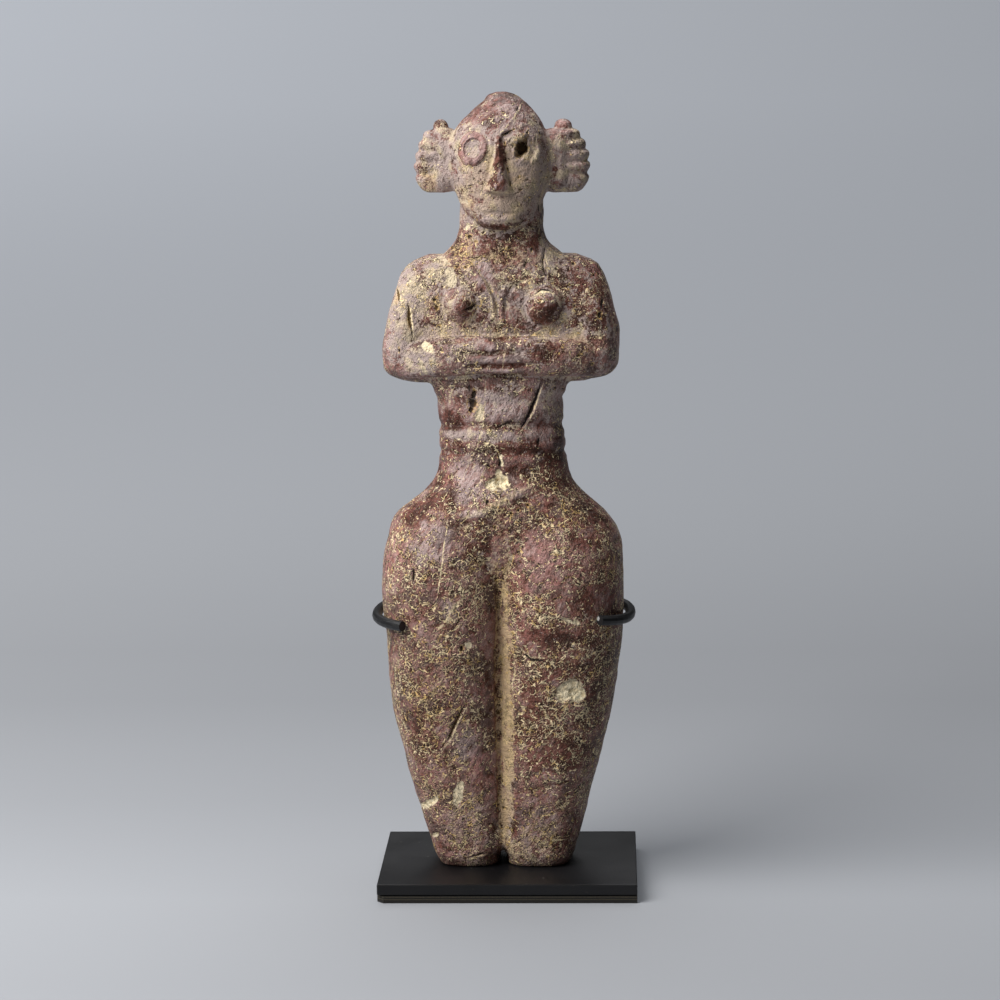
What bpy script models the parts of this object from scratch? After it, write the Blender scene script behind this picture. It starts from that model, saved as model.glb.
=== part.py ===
"""A carved stone female idol standing on a small black display stand.

The stand is a painted steel plate with a thin pad below it. A bent rod rises behind the figure and
holds its thighs with two prongs. The frame's origin is the middle of the stand's underside, +Z is up
and the figure faces -Y. Left and right are the viewer's.
"""

import math

import bmesh
import bpy
import numpy as np
from mathutils import Matrix, Vector

# Driving dimensions, in metres
MM = 0.001
FIGURE_HEIGHT = 240 * MM
PLATE_WIDTH = 80 * MM
PLATE_DEPTH = 60 * MM
PLATE_THICKNESS = 3.4 * MM
PLATE_EDGE_BEVEL = 0.35 * MM
PAD_THICKNESS = 2.2 * MM
PAD_CORNER_TRIM = 2.0 * MM
ROD_DIAMETER = 3.2 * MM
POST_TO_BACK_EDGE = 6.6 * MM
PLATE_OFFSET = 1.0 * MM  # how far the plate's middle lies to the right of the figure's
SEAT_GAP = 0.3 * MM  # between pieces that rest on each other
PRONG_GAP = 0.5 * MM  # between the rod and the thighs
SOLDER_RADIUS = 2.3 * MM

# Every length of the carving is in shares of the figure's height: this many make up the whole of it
HEIGHT_IN_UNITS = 240
UNIT = FIGURE_HEIGHT / HEIGHT_IN_UNITS

# Fineness of the carved mesh, in units of the figure
VOXEL = 0.8
IDOL_TRIANGLES = 8000
OUTLINE_SIDES = 56
LIMB_SIDES = 24
ROD_SIDES = 12
ROUND = 2.0  # the squareness of a plain oval
LIMB_SQUARENESS = 2.3
BLUNT_END = ((0.55, 0.8), (0.85, 0.45))  # a limb's last rings: share of its radius beyond the end, size
PRONG_STEPS_PER_DIAMETER = 1.6

# Level outlines of the body, each: height, left, right, front, back, squareness
TRUNK = (
    (84, -33, 33, -14.5, 18.5, 2.8),
    (96, -36.6, 36.9, -17.6, 22.0, 2.6),
    (102, -35.8, 36.6, -19.4, 21.4, 2.5),
    (108, -34.4, 34.7, -20.4, 19.8, 2.3),
    (111.5, -32.2, 32.3, -20.4, 18.6, 2.3),
    (114.5, -28.3, 28.8, -19.8, 17.4, 2.3),
    (117.7, -24.4, 25.3, -18.8, 16.4, 2.3),
    (121, -21.4, 22.3, -17.6, 15.5, 2.3),
    (125, -19.7, 20.5, -15.6, 14.6, 2.4),
    (131, -19.3, 19.8, -14.5, 13.8, 2.4),
    (138, -19.2, 19.4, -14.0, 13.3, 2.4),
    (145, -19.6, 19.3, -13.8, 13.1, 2.4),
    (149, -20.4, 20.0, -13.6, 13.2, 2.5),
    (153, -22.4, 21.8, -13.2, 13.4, 2.6),
    (160, -25, 25, -13.0, 13.8, 2.6),
    (172, -27, 27, -13.6, 14.2, 2.6),
    (181, -26, 26, -13.4, 14.0, 2.5),
    (187, -22.5, 23.5, -12.6, 13.0, 2.4),
    (191, -17.0, 18.6, -11.8, 12.2, 2.3),
    (194, -14.3, 15.3, -11.4, 11.8, 2.3),
    (198, -12.7, 13.6, -11.3, 11.6, 2.3),
    (204, -12.4, 13.5, -11.3, 11.8, 2.3),
    (208, -12.0, 13.0, -11.0, 12.0, 2.3),
)
SHOULDERS = (
    (151.8, -27.0, 26.5, -6.5, 7.5, 2.8),
    (153.0, -31.3, 30.8, -9.0, 9.8, 3),
    (155.0, -34.9, 33.9, -11.0, 11.6, 3),
    (158.0, -36.2, 35.7, -12.0, 12.6, 3),
    (162.0, -36.3, 36.2, -12.4, 13.0, 3),
    (168.0, -35.3, 36.0, -12.4, 13.0, 3),
    (175.0, -33.6, 34.9, -12.2, 12.8, 3),
    (181.0, -31.8, 33.4, -11.8, 12.4, 3),
    (185.5, -30.1, 31.6, -11.0, 11.6, 2.8),
    (188.5, -27.5, 28.9, -9.4, 10.2, 2.6),
    (190.4, -22.0, 23.5, -7.2, 8.2, 2.4),
)
HEAD = (
    (198.8, -4.0, 5.0, -12.6, 5.0, 2.2),
    (199.6, -6.4, 7.2, -14.2, 8.0, 2.2),
    (201.5, -9.0, 9.8, -15.1, 11.0, 2.2),
    (204.5, -11.2, 11.9, -15.6, 13.0, 2.3),
    (208, -12.7, 13.5, -15.8, 14.4, 2.3),
    (212, -13.8, 14.7, -16.0, 15.4, 2.4),
    (217, -14.8, 15.6, -15.9, 16.2, 2.4),
    (222, -14.9, 15.6, -15.7, 16.6, 2.4),
    (226, -14.2, 15.0, -15.0, 16.2, 2.3),
    (229, -12.7, 13.8, -13.8, 15.0, 2.2),
    (232, -10.3, 12.1, -11.8, 12.8, 2.1),
    (235, -7.7, 9.8, -9.0, 10.0, 2),
    (237.5, -5.2, 7.4, -6.2, 7.0, 2),
    (239.2, -3.0, 4.8, -3.4, 4.0, 2),
    (240, -1.0, 2.2, -1.0, 1.6, 2),
)
# One leg's outline, each: height, left leg's outer side, right leg's outer side, front, back, squareness
LEGS = (
    (-1.5, -19.6, 19.2, -9.8, 9.8, 2.6),
    (0.2, -21.0, 20.4, -11.2, 11.0, 2.8),
    (2, -21.9, 21.3, -12.2, 12.0, 2.8),
    (7, -23.4, 22.8, -13.2, 12.9, 2.7),
    (12, -25.0, 24.2, -13.9, 13.6, 2.6),
    (25, -28.9, 27.8, -15.8, 15.3, 2.5),
    (35, -31.6, 30.1, -17.5, 16.8, 2.4),
    (45, -34.0, 32.7, -19.2, 18.2, 2.3),
    (54, -35.4, 34.9, -20.6, 19.4, 2.3),
    (64, -36.2, 36.2, -21.7, 20.5, 2.3),
    (73, -36.7, 37.0, -22.5, 21.2, 2.3),
    (88, -37.8, 37.5, -23.1, 22.1, 2.3),
    (97, -37.2, 37.2, -22.7, 22.9, 2.3),
    (104, -35.3, 35.9, -21.6, 22.4, 2.3),
    (110, -31.0, 32.0, -19.9, 19.9, 2.3),
    (115, -26.0, 27.0, -17.0, 15.0, 2.3),
    (118, -22.0, 23.0, -13.0, 10.0, 2.3),
)
GROOVE_X = -0.8  # the groove between the legs, from the figure's middle
LEG_OVERLAP = 3.0
FEET_GAP = 2.4
FEET_GAP_TOP = 6.0
HUMP_START = 104.0  # above this the tops of the thighs part into two humps
HUMP_SPREAD = 9.0 / 14.0  # how fast they part
# The stone left standing between the legs, each: height, front and back of the groove's floor
GROOVE_FLOOR = (
    (5.6, -7.4, 8.0),
    (10, -9.0, 9.8),
    (25, -10.6, 12.0),
    (50, -13.0, 16.0),
    (75, -14.2, 18.4),
    (92, -12.0, 18.0),
)
GROOVE_FLOOR_HALF_WIDTH = 3.4

PRONG_HEIGHT = 79.0
PRONG_TIP_X = 30.6
RIGHT_PRONG_RISE = 1.8

# Hair tufts: level ridges one below the other on each side of the head, with a knob on top
TUFT_RIDGES = 5
RIDGE_TOP = 227.3
RIDGE_STEP = 3.85
RIDGE_HALF_HEIGHT = 1.95
RIDGE_HALF_DEPTH = 4.4
TUFT_REACH = 25.9
TUFT_MIDDLE = 217.0
TUFT_BOW = 0.029  # how fast the ridges' ends draw in above and below the tuft's middle
RIDGE_SPREAD = 0.94
TUFT_Y = 1.5
RIGHT_TUFT_SHIFT = 2.2
KNOB = (17.7, 229.5)
KNOB_RADII = (1.9, 2.8, 2.1)
EAR_X = 16.4
# The strip between the ridges and the head, each: height, half width, half depth
EAR = ((209.4, 1.8, 3.6), (210.6, 3.2, 5.2), (219, 4.0, 6.2), (226.0, 3.8, 5.8), (228.6, 2.4, 4.2))

EYE_CENTRES = ((-6.8, 223.3), (8.6, 223.1))
EYE_RADII = (3.4, 3.9)
EYE_RIM_HALF_WIDTH = 0.95
EYE_RIM_RISE = 0.7
EYE_SURFACE_Y = -14.5
EYE_SIDES = 32
EYE_RIM_SIDES = 10
EYE_TURN = 24.0  # degrees that each ring is turned away from the nose
BASIN_DEPTH = 0.9
BROKEN_EYE = (7.8, 223.0)
BROKEN_EYE_RADII = (2.4, 3.6)
BROKEN_EYE_DEPTH = 3.0
NOSE = (
    (211.0, -2.6, 2.5, -18.2, -12.5, 2.6),
    (212.2, -3.1, 3.0, -18.9, -12.5, 2.6),
    (217.0, -2.2, 2.2, -18.1, -12.5, 2.3),
    (222.0, -1.4, 1.6, -17.1, -12.5, 2.0),
    (227.0, -0.7, 1.1, -15.4, -12.5, 2.0),
)
# Forearms: middle line of the left one, each: x, y, height, half height, half depth
FOREARM = (
    (-30.0, -7.0, 159.2, 5.4, 4.6),
    (-24.0, -10.4, 159.8, 5.8, 5.0),
    (-14.0, -14.2, 160.7, 5.9, 4.8),
    (-2.0, -15.6, 161.1, 5.8, 4.4),
    (8.0, -15.4, 161.2, 5.2, 3.8),
)
UPPER_ARM = (
    (-26.5, -2.4, 184.0, 5.0, 6.6),
    (-28.0, -3.8, 174.0, 6.8, 8.8),
    (-29.4, -4.6, 161.0, 6.6, 8.8),
)
LEFT_BREAST = (-12.9, -13.2, 176.4)
LEFT_BREAST_RADII = (4.5, 3.4, 4.5)
RIGHT_BREAST = (13.2, -11.6, 176.3)
RIGHT_BREAST_RADII = (6.6, 4.0, 6.6)
RIGHT_NIPPLE = (13.4, -14.0, 176.5)
RIGHT_NIPPLE_RADII = (3.3, 3.2, 3.3)

# Waist rolls lie between grooves: height at the flank and depth of each groove
WAIST_GROOVES = ((146.2, 0.45), (137.6, 0.95), (130.0, 0.8))
WAIST_GROOVE_TILT = 0.19  # each groove climbs this much towards the front
WAIST_GROOVE_HALF_WIDTH = 2.6
# Strokes cut into the front, each: half width, depth, then the path's points as x and height
STROKES = (
    (1.4, 1.0, ((-4.4, 204.6), (5.5, 204.6))),  # mouth
    (1.3, 0.65, ((-10.2, 162.4), (14.8, 162.4))),  # between the fingers
    (1.3, 0.65, ((-10.2, 159.2), (14.8, 159.2))),
    (1.3, 0.65, ((-10.2, 156.4), (14.8, 156.4))),
    (1.7, 0.8, ((-7.4, 188.0), (-3.6, 183.0), (-0.7, 177.6), (-0.4, 171.6))),  # between the breasts
    (1.7, 0.8, ((6.5, 183.0), (2.6, 177.8), (1.0, 174.0))),
    (2.6, 0.7, ((-12.5, 111.8), (-4.0, 113.6), (9.5, 120.6))),  # fold below the belly
)

STONE_COLOUR = (0.24, 0.13, 0.12, 1)
BLACK_PAINT = (0.012, 0.012, 0.013, 1)
PAD_COLOUR = (0.022, 0.018, 0.015, 1)

PLATE_TOP = PAD_THICKNESS + SEAT_GAP + PLATE_THICKNESS
FEET_Z = PLATE_TOP + SEAT_GAP
ROD_RADIUS = ROD_DIAMETER / 2
POST_Y = PLATE_DEPTH / 2 - POST_TO_BACK_EDGE


def clear_scene():
    for thing in list(bpy.data.objects):
        bpy.data.objects.remove(thing, do_unlink=True)


def painted(name, colour, roughness, metallic=0.0):
    material = bpy.data.materials.new(name)
    material.use_nodes = True
    shader = material.node_tree.nodes["Principled BSDF"]
    shader.inputs["Base Color"].default_value = colour
    shader.inputs["Roughness"].default_value = roughness
    shader.inputs["Metallic"].default_value = metallic
    return material


def object_from(name, mesh_builder, material=None):
    """A named object from a bmesh, which it uses up."""
    mesh = bpy.data.meshes.new(name)
    bmesh.ops.recalc_face_normals(mesh_builder, faces=mesh_builder.faces[:])
    mesh_builder.to_mesh(mesh)
    mesh_builder.free()
    if material:
        mesh.materials.append(material)
    thing = bpy.data.objects.new(name, mesh)
    bpy.context.scene.collection.objects.link(thing)
    return thing


def along_curve(rows, spacing):
    """The rows joined by a smooth curve over their first column, read at even steps of that column."""
    rows = np.array(rows, dtype=float)
    keys = rows[:, 0]
    steps = np.linspace(keys[0], keys[-1], max(2, round((keys[-1] - keys[0]) / spacing)) + 1)
    slopes = np.gradient(rows, keys, axis=0)
    left = np.clip(np.searchsorted(keys, steps, side="right") - 1, 0, len(keys) - 2)
    span = (keys[left + 1] - keys[left])[:, None]
    t = (steps - keys[left])[:, None] / span
    start = (1 + 2 * t) * (1 - t) ** 2 * rows[left] + t * (1 - t) ** 2 * span * slopes[left]
    end = t * t * (3 - 2 * t) * rows[left + 1] + t * t * (t - 1) * span * slopes[left + 1]
    return start + end


def oval(half_width, half_depth, squareness, sides):
    """Points round a superellipse, from a circle's form at squareness 2 towards a rectangle."""
    points = []
    for i in range(sides):
        angle = math.tau * i / sides
        across = math.copysign(abs(math.cos(angle)) ** (2 / squareness), math.cos(angle))
        along = math.copysign(abs(math.sin(angle)) ** (2 / squareness), math.sin(angle))
        points.append((half_width * across, half_depth * along))
    return points


def skin(rings, name):
    """A closed body whose skin passes through rings of points."""
    shape = bmesh.new()
    loops = [[shape.verts.new(point) for point in ring] for ring in rings]
    for lower, upper in zip(loops, loops[1:]):
        for i in range(len(lower)):
            after = (i + 1) % len(lower)
            shape.faces.new((lower[i], lower[after], upper[after], upper[i]))
    shape.faces.new(loops[0][::-1])
    shape.faces.new(loops[-1])
    return object_from(name, shape)


def stacked(name, rows, spacing=1.3):
    """A body built up from level outlines, in figure units."""
    rings = []
    for height, left, right, front, back, squareness in along_curve(rows, spacing):
        middle = ((left + right) / 2, (front + back) / 2)
        outline = oval((right - left) / 2, (back - front) / 2, squareness, OUTLINE_SIDES)
        rings.append([(middle[0] + x, middle[1] + y, height) for x, y in outline])
    return skin(rings, name)


def limb(name, stations, mirror=1, spacing=1.5):
    """A body swept along stations, each: x, y, height, half width across, half depth."""
    stations = np.array(stations, dtype=float)
    stations[:, 0] *= mirror
    lengths = np.linalg.norm(np.diff(stations[:, :3], axis=0), axis=1)
    reach = np.concatenate([[0], np.cumsum(lengths)])
    path = along_curve(np.column_stack([reach, stations]), spacing)[:, 1:]
    tangents = np.gradient(path[:, :3], axis=0)
    rings = []
    for (x, y, z, half_width, half_depth), tangent in zip(path, tangents):
        ahead = Vector(tangent).normalized()
        deep = Vector((0, 1, 0))
        deep = (deep - ahead * deep.dot(ahead)).normalized()
        wide = ahead.cross(deep)
        centre = Vector((x, y, z))
        outline = oval(half_width, half_depth, LIMB_SQUARENESS, LIMB_SIDES)
        rings.append([centre + wide * a + deep * b for a, b in outline])
    rings = round_end(rings[::-1])
    rings = round_end(rings[::-1])
    return skin(rings, name)


def round_end(rings):
    """The rings with two smaller ones past the last, so that the end is blunt and not square."""
    last = rings[-1]
    centre = sum((Vector(p) for p in last), Vector()) / len(last)
    before = sum((Vector(p) for p in rings[-2]), Vector()) / len(last)
    ahead = (centre - before).normalized()
    reach = min((Vector(p) - centre).length for p in last)
    for share, size in BLUNT_END:
        rings = rings + [[centre + ahead * reach * share + (Vector(p) - centre) * size for p in last]]
    return rings


def ball(name, centre, radii):
    shape = bmesh.new()
    place = Matrix.Translation(centre) @ Matrix.Diagonal((*radii, 1))
    bmesh.ops.create_uvsphere(shape, u_segments=32, v_segments=20, radius=1, matrix=place)
    return object_from(name, shape)


def leg(name, side):
    """One leg, -1 for the left and 1 for the right, which meets the other along the groove."""
    rows = []
    for height, left, right, front, back, squareness in LEGS:
        outer = left if side < 0 else right
        if height < FEET_GAP_TOP:
            inner = GROOVE_X + side * FEET_GAP / 2
        else:
            inner = GROOVE_X - side * LEG_OVERLAP
        inner += side * HUMP_SPREAD * max(0.0, height - HUMP_START)
        rows.append((height, min(outer, inner), max(outer, inner), front, back, squareness))
    return stacked(name, rows)


def groove_floor():
    rows = []
    half = GROOVE_FLOOR_HALF_WIDTH
    for height, front, back in GROOVE_FLOOR:
        rows.append((height, GROOVE_X - half, GROOVE_X + half, front, back, ROUND))
    return stacked("groove floor", rows)


def hair_tuft(side):
    """The ear strip and the ridges beside the head, -1 for the left and 1 for the right."""
    shift = RIGHT_TUFT_SHIFT if side > 0 else 0.0
    ear_x = EAR_X + shift / 2
    rows = []
    for height, half_width, half_depth in EAR:
        edges = sorted((side * (ear_x - half_width), side * (ear_x + half_width)))
        rows.append((height, *edges, TUFT_Y - half_depth, TUFT_Y + half_depth, LIMB_SQUARENESS))
    pieces = [stacked("ear", rows, spacing=1.0)]
    for i in range(TUFT_RIDGES):
        outer_z = RIDGE_TOP - i * RIDGE_STEP
        outer_x = TUFT_REACH + shift - TUFT_BOW * (outer_z - TUFT_MIDDLE) ** 2 - RIDGE_HALF_HEIGHT
        inner_z = TUFT_MIDDLE + (outer_z - TUFT_MIDDLE) * RIDGE_SPREAD
        stations = (
            (ear_x, TUFT_Y, inner_z, RIDGE_HALF_HEIGHT, RIDGE_HALF_DEPTH),
            (outer_x, TUFT_Y + 0.6, outer_z, RIDGE_HALF_HEIGHT, RIDGE_HALF_DEPTH),
        )
        pieces.append(limb("ridge", stations, mirror=side, spacing=0.8))
    pieces.append(ball("knob", (side * (KNOB[0] + shift), TUFT_Y, KNOB[1]), KNOB_RADII))
    return pieces


def eye_ring(centre, side):
    """A raised rim that follows the curve of the cheek."""
    shape = bmesh.new()
    half_width, half_height = EYE_RADII
    place = Matrix.Translation((centre[0], EYE_SURFACE_Y, centre[1]))
    place = place @ Matrix.Rotation(math.radians(EYE_TURN * side), 4, "Z")
    loops = []
    for angle in np.linspace(0, math.tau, EYE_SIDES, endpoint=False):
        loop = []
        for turn in np.linspace(0, math.tau, EYE_RIM_SIDES, endpoint=False):
            size = 1 + EYE_RIM_HALF_WIDTH * math.cos(turn) / half_width
            x = half_width * size * math.cos(angle)
            z = half_height * size * math.sin(angle)
            loop.append(shape.verts.new(place @ Vector((x, EYE_RIM_RISE * math.sin(turn), z))))
        loops.append(loop)
    for loop, following in zip(loops, loops[1:] + loops[:1]):
        for j in range(EYE_RIM_SIDES):
            after = (j + 1) % EYE_RIM_SIDES
            shape.faces.new((loop[j], following[j], following[after], loop[after]))
    return object_from("eye rim", shape)


def fused(name, pieces, material):
    """The pieces grown together into one skin of even fineness, in figure units."""
    shape = bmesh.new()
    for piece in pieces:
        shape.from_mesh(piece.data)
        bpy.data.objects.remove(piece, do_unlink=True)
    body = object_from(name, shape, material)
    remesh = body.modifiers.new("Grow together", "REMESH")
    remesh.mode = "VOXEL"
    remesh.voxel_size = VOXEL
    soften = body.modifiers.new("Soften", "SMOOTH")
    soften.factor = 0.5
    soften.iterations = 3
    apply_modifiers(body)
    return body


def apply_modifiers(thing):
    """Puts the modifiers' result in the object's mesh."""
    graph = bpy.context.evaluated_depsgraph_get()
    graph.update()
    mesh = bpy.data.meshes.new_from_object(thing.evaluated_get(graph))
    thing.modifiers.clear()
    old = thing.data
    thing.data = mesh
    bpy.data.meshes.remove(old)


def distance_to_path(points, path):
    """How far each point in the plane lies from a line through the path's points."""
    best = np.full(len(points), np.inf)
    path = np.array(path, dtype=float)
    for start, end in zip(path, path[1:]):
        run = end - start
        share = np.clip((points - start) @ run / (run @ run), 0, 1)
        gap = np.linalg.norm(points - start - share[:, None] * run, axis=1)
        best = np.minimum(best, gap)
    return best


def dent(distance, width):
    """1 on a stroke's line, falling smoothly to 0 at its width."""
    return np.clip(1 - (distance / width) ** 2, 0, 1) ** 2


def carve(body):
    """Presses the grooves, fingers, waist rolls and eyes into the fused body's skin."""
    mesh = body.data
    count = len(mesh.vertices)
    points = np.empty(count * 3, dtype=np.float32)
    normals = np.empty(count * 3, dtype=np.float32)
    mesh.vertices.foreach_get("co", points)
    mesh.vertices.foreach_get("normal", normals)
    points = points.reshape(-1, 3).astype(float)
    normals = normals.reshape(-1, 3).astype(float)
    depth = np.zeros(count)
    faces_front = np.clip(-normals[:, 1] * 2, 0, 1) * (points[:, 1] < 0)
    plan = points[:, (0, 2)]

    flank_height = points[:, 2] + WAIST_GROOVE_TILT * points[:, 1]
    for height, groove_depth in WAIST_GROOVES:
        depth += groove_depth * dent(np.abs(flank_height - height), WAIST_GROOVE_HALF_WIDTH)
    for half_width, stroke_depth, path in STROKES:
        depth += stroke_depth * faces_front * dent(distance_to_path(plan, path), half_width)
    x, z = EYE_CENTRES[0]
    basin = np.hypot((points[:, 0] - x) / EYE_RADII[0], (points[:, 2] - z) / EYE_RADII[1])
    depth += BASIN_DEPTH * faces_front * dent(basin, 0.9)
    x, z = BROKEN_EYE
    hole = np.hypot((points[:, 0] - x) / BROKEN_EYE_RADII[0], (points[:, 2] - z) / BROKEN_EYE_RADII[1])
    depth += BROKEN_EYE_DEPTH * faces_front * dent(hole, 1.0)
    points -= normals * depth[:, None]
    mesh.vertices.foreach_set("co", points.astype(np.float32).ravel())
    mesh.update()


def cut_flat(body, height):
    """Cuts away what lies below a level, which leaves flat soles."""
    shape = bmesh.new()
    shape.from_mesh(body.data)
    everything = shape.verts[:] + shape.edges[:] + shape.faces[:]
    cut = bmesh.ops.bisect_plane(
        shape, geom=everything, dist=1e-6, plane_co=(0, 0, height), plane_no=(0, 0, 1), clear_inner=True
    )
    edges = [part for part in cut["geom_cut"] if isinstance(part, bmesh.types.BMEdge)]
    bmesh.ops.holes_fill(shape, edges=edges, sides=0)
    shape.to_mesh(body.data)
    shape.free()


def build_idol(material):
    pieces = [
        stacked("trunk", TRUNK),
        stacked("shoulders", SHOULDERS),
        stacked("head", HEAD, spacing=0.9),
        stacked("nose", NOSE, spacing=0.9),
        leg("left leg", -1),
        leg("right leg", 1),
        groove_floor(),
        ball("left breast", LEFT_BREAST, LEFT_BREAST_RADII),
        ball("right breast", RIGHT_BREAST, RIGHT_BREAST_RADII),
        ball("right nipple", RIGHT_NIPPLE, RIGHT_NIPPLE_RADII),
    ]
    for side in (-1, 1):
        pieces.append(limb("forearm", FOREARM, mirror=-side))
        pieces.append(limb("upper arm", UPPER_ARM, mirror=-side))
        pieces.extend(hair_tuft(side))
    for centre, side in zip(EYE_CENTRES, (-1, 1)):
        pieces.append(eye_ring(centre, side))
    body = fused("idol", pieces, material)
    carve(body)
    fewer = body.modifiers.new("Fewer faces", "DECIMATE")
    fewer.ratio = IDOL_TRIANGLES / (2 * len(body.data.polygons))
    apply_modifiers(body)
    cut_flat(body, 0.0)
    body.data.transform(Matrix.Translation((0, figure_y(), FEET_Z)) @ Matrix.Scale(UNIT, 4))
    body.data.shade_smooth()
    return body


def thigh_outline(side, angle, clearance):
    """A point of one thigh's level outline at the prongs, grown by a clearance in metres."""
    row = along_curve([(r[0], *r[1:]) for r in LEGS], 1.0)
    row = row[np.argmin(np.abs(row[:, 0] - PRONG_HEIGHT))]
    outer = row[1] if side < 0 else row[2]
    inner = GROOVE_X - side * LEG_OVERLAP
    squareness = row[5]
    middle = ((outer + inner) / 2 * UNIT, (row[3] + row[4]) / 2 * UNIT)
    half_width = abs(outer - inner) / 2 * UNIT + clearance
    half_depth = (row[4] - row[3]) / 2 * UNIT + clearance
    across = math.copysign(abs(math.cos(angle)) ** (2 / squareness), math.cos(angle))
    along = math.copysign(abs(math.sin(angle)) ** (2 / squareness), math.sin(angle))
    return middle[0] + side * half_width * across, middle[1] + half_depth * along


def figure_y():
    """The figure stands in front of the post, with the rod's clearance behind its thighs."""
    back_of_thigh = thigh_outline(1, math.pi / 2, 0)[1]
    return POST_Y - ROD_RADIUS - PRONG_GAP - back_of_thigh


def prong_path(side):
    """One arm of the cradle in plan, from behind the thigh round to its front, as (x, y, z)."""
    reach = ROD_RADIUS + PRONG_GAP
    path = []
    for degrees in np.arange(90, -90, -2.5):
        angle = math.radians(degrees)
        x, y = thigh_outline(side, angle, reach)
        path.append(Vector((x, y + figure_y(), FEET_Z + PRONG_HEIGHT * UNIT)))
        if angle < 0 and abs(x) < PRONG_TIP_X * UNIT:
            break
    rise = RIGHT_PRONG_RISE * UNIT if side > 0 else 0.0
    front = [point for point in path if point.y < 0]
    for i, point in enumerate(front):
        point.z += rise * (i / len(front)) ** 2
    return path


def swept_rod(name, path):
    """A round rod along a path, with flat ends."""
    rings = []
    for i, point in enumerate(path):
        ahead = (path[min(i + 1, len(path) - 1)] - path[max(i - 1, 0)]).normalized()
        side = ahead.orthogonal() if abs(ahead.z) > 0.9 else ahead.cross(Vector((0, 0, 1)))
        side.normalize()
        up = side.cross(ahead)
        ring = []
        for j in range(ROD_SIDES):
            turn = math.tau * j / ROD_SIDES
            ring.append(point + (side * math.cos(turn) + up * math.sin(turn)) * ROD_RADIUS)
        rings.append(ring)
    return skin(rings, name)


def evenly(path, spacing):
    """Points at about even spacing along a path, with both ends kept."""
    kept = [path[0]]
    for point in path[1:-1]:
        if (point - kept[-1]).length >= spacing:
            kept.append(point)
    return kept + [path[-1]]


def joined_by(cutter, body, operation):
    change = body.modifiers.new(operation.title(), "BOOLEAN")
    change.operation = operation
    change.solver = "EXACT"
    change.object = cutter
    apply_modifiers(body)
    bpy.data.objects.remove(cutter, do_unlink=True)


def build_cradle(material):
    """The post, the cross piece and the two prongs: one rod soldered at the back."""
    left = evenly(prong_path(-1), ROD_DIAMETER / PRONG_STEPS_PER_DIAMETER)
    right = evenly(prong_path(1), ROD_DIAMETER / PRONG_STEPS_PER_DIAMETER)
    cradle = swept_rod("cradle", left[::-1] + right)
    cradle.data.materials.append(material)
    post_foot = Vector((0, POST_Y, PAD_THICKNESS + 2 * SEAT_GAP))
    post_top = Vector((0, POST_Y, FEET_Z + PRONG_HEIGHT * UNIT))
    joined_by(swept_rod("post", [post_foot, post_top]), cradle, "UNION")
    solder = bmesh.new()
    bmesh.ops.create_uvsphere(
        solder, u_segments=16, v_segments=10, radius=SOLDER_RADIUS, matrix=Matrix.Translation(post_top)
    )
    joined_by(object_from("solder", solder), cradle, "UNION")
    cradle.data.shade_smooth()
    return cradle


def slab(name, corners, bottom, top, material):
    """A flat slab of the given plan between two levels."""
    rings = [[(x, y, level) for x, y in corners] for level in (bottom, top)]
    thing = skin(rings, name)
    thing.data.materials.append(material)
    return thing


def plate_corners():
    half_width, half_depth = PLATE_WIDTH / 2, PLATE_DEPTH / 2
    left, right = PLATE_OFFSET - half_width, PLATE_OFFSET + half_width
    return [(left, -half_depth), (right, -half_depth), (right, half_depth), (left, half_depth)]


def build_plate(material):
    bottom = PAD_THICKNESS + SEAT_GAP
    plate = slab("base_plate", plate_corners(), bottom, PLATE_TOP, material)
    bevel = plate.modifiers.new("Edges", "BEVEL")
    bevel.width = PLATE_EDGE_BEVEL
    bevel.segments = 2
    apply_modifiers(plate)
    hole = bmesh.new()
    bmesh.ops.create_cone(
        hole,
        cap_ends=True,
        segments=2 * ROD_SIDES,
        radius1=ROD_RADIUS + SEAT_GAP,
        radius2=ROD_RADIUS + SEAT_GAP,
        depth=4 * PLATE_THICKNESS,
        matrix=Matrix.Translation((0, POST_Y, PLATE_TOP)),
    )
    joined_by(object_from("post hole", hole), plate, "DIFFERENCE")
    return plate


def build_pad(material):
    """The pad has the plate's outline, with its front left corner trimmed off."""
    corners = plate_corners()
    x, y = corners[0]
    trimmed = [(x, y + PAD_CORNER_TRIM), (x + PAD_CORNER_TRIM, y)] + corners[1:]
    return slab("base_pad", trimmed, 0.0, PAD_THICKNESS, material)


def main():
    clear_scene()
    black = painted("black paint", BLACK_PAINT, 0.45)
    build_idol(painted("carved stone", STONE_COLOUR, 0.7))
    build_cradle(painted("black rod paint", BLACK_PAINT, 0.4))
    build_plate(black)
    build_pad(painted("dark pad", PAD_COLOUR, 0.9))


main()
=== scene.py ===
"""The carved stone idol on its display stand, dressed in stone, black paint and studio light.

The frame's origin is the middle of the stand's underside, +Z is up and the figure faces -Y. Left and right
are the viewer's. Lengths of the carving are in units: 240 of them make up the figure's height, and heights
are counted from its feet.
"""

import itertools
import math

import bmesh
import bpy
import numpy as np
from mathutils import Matrix, Vector


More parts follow.
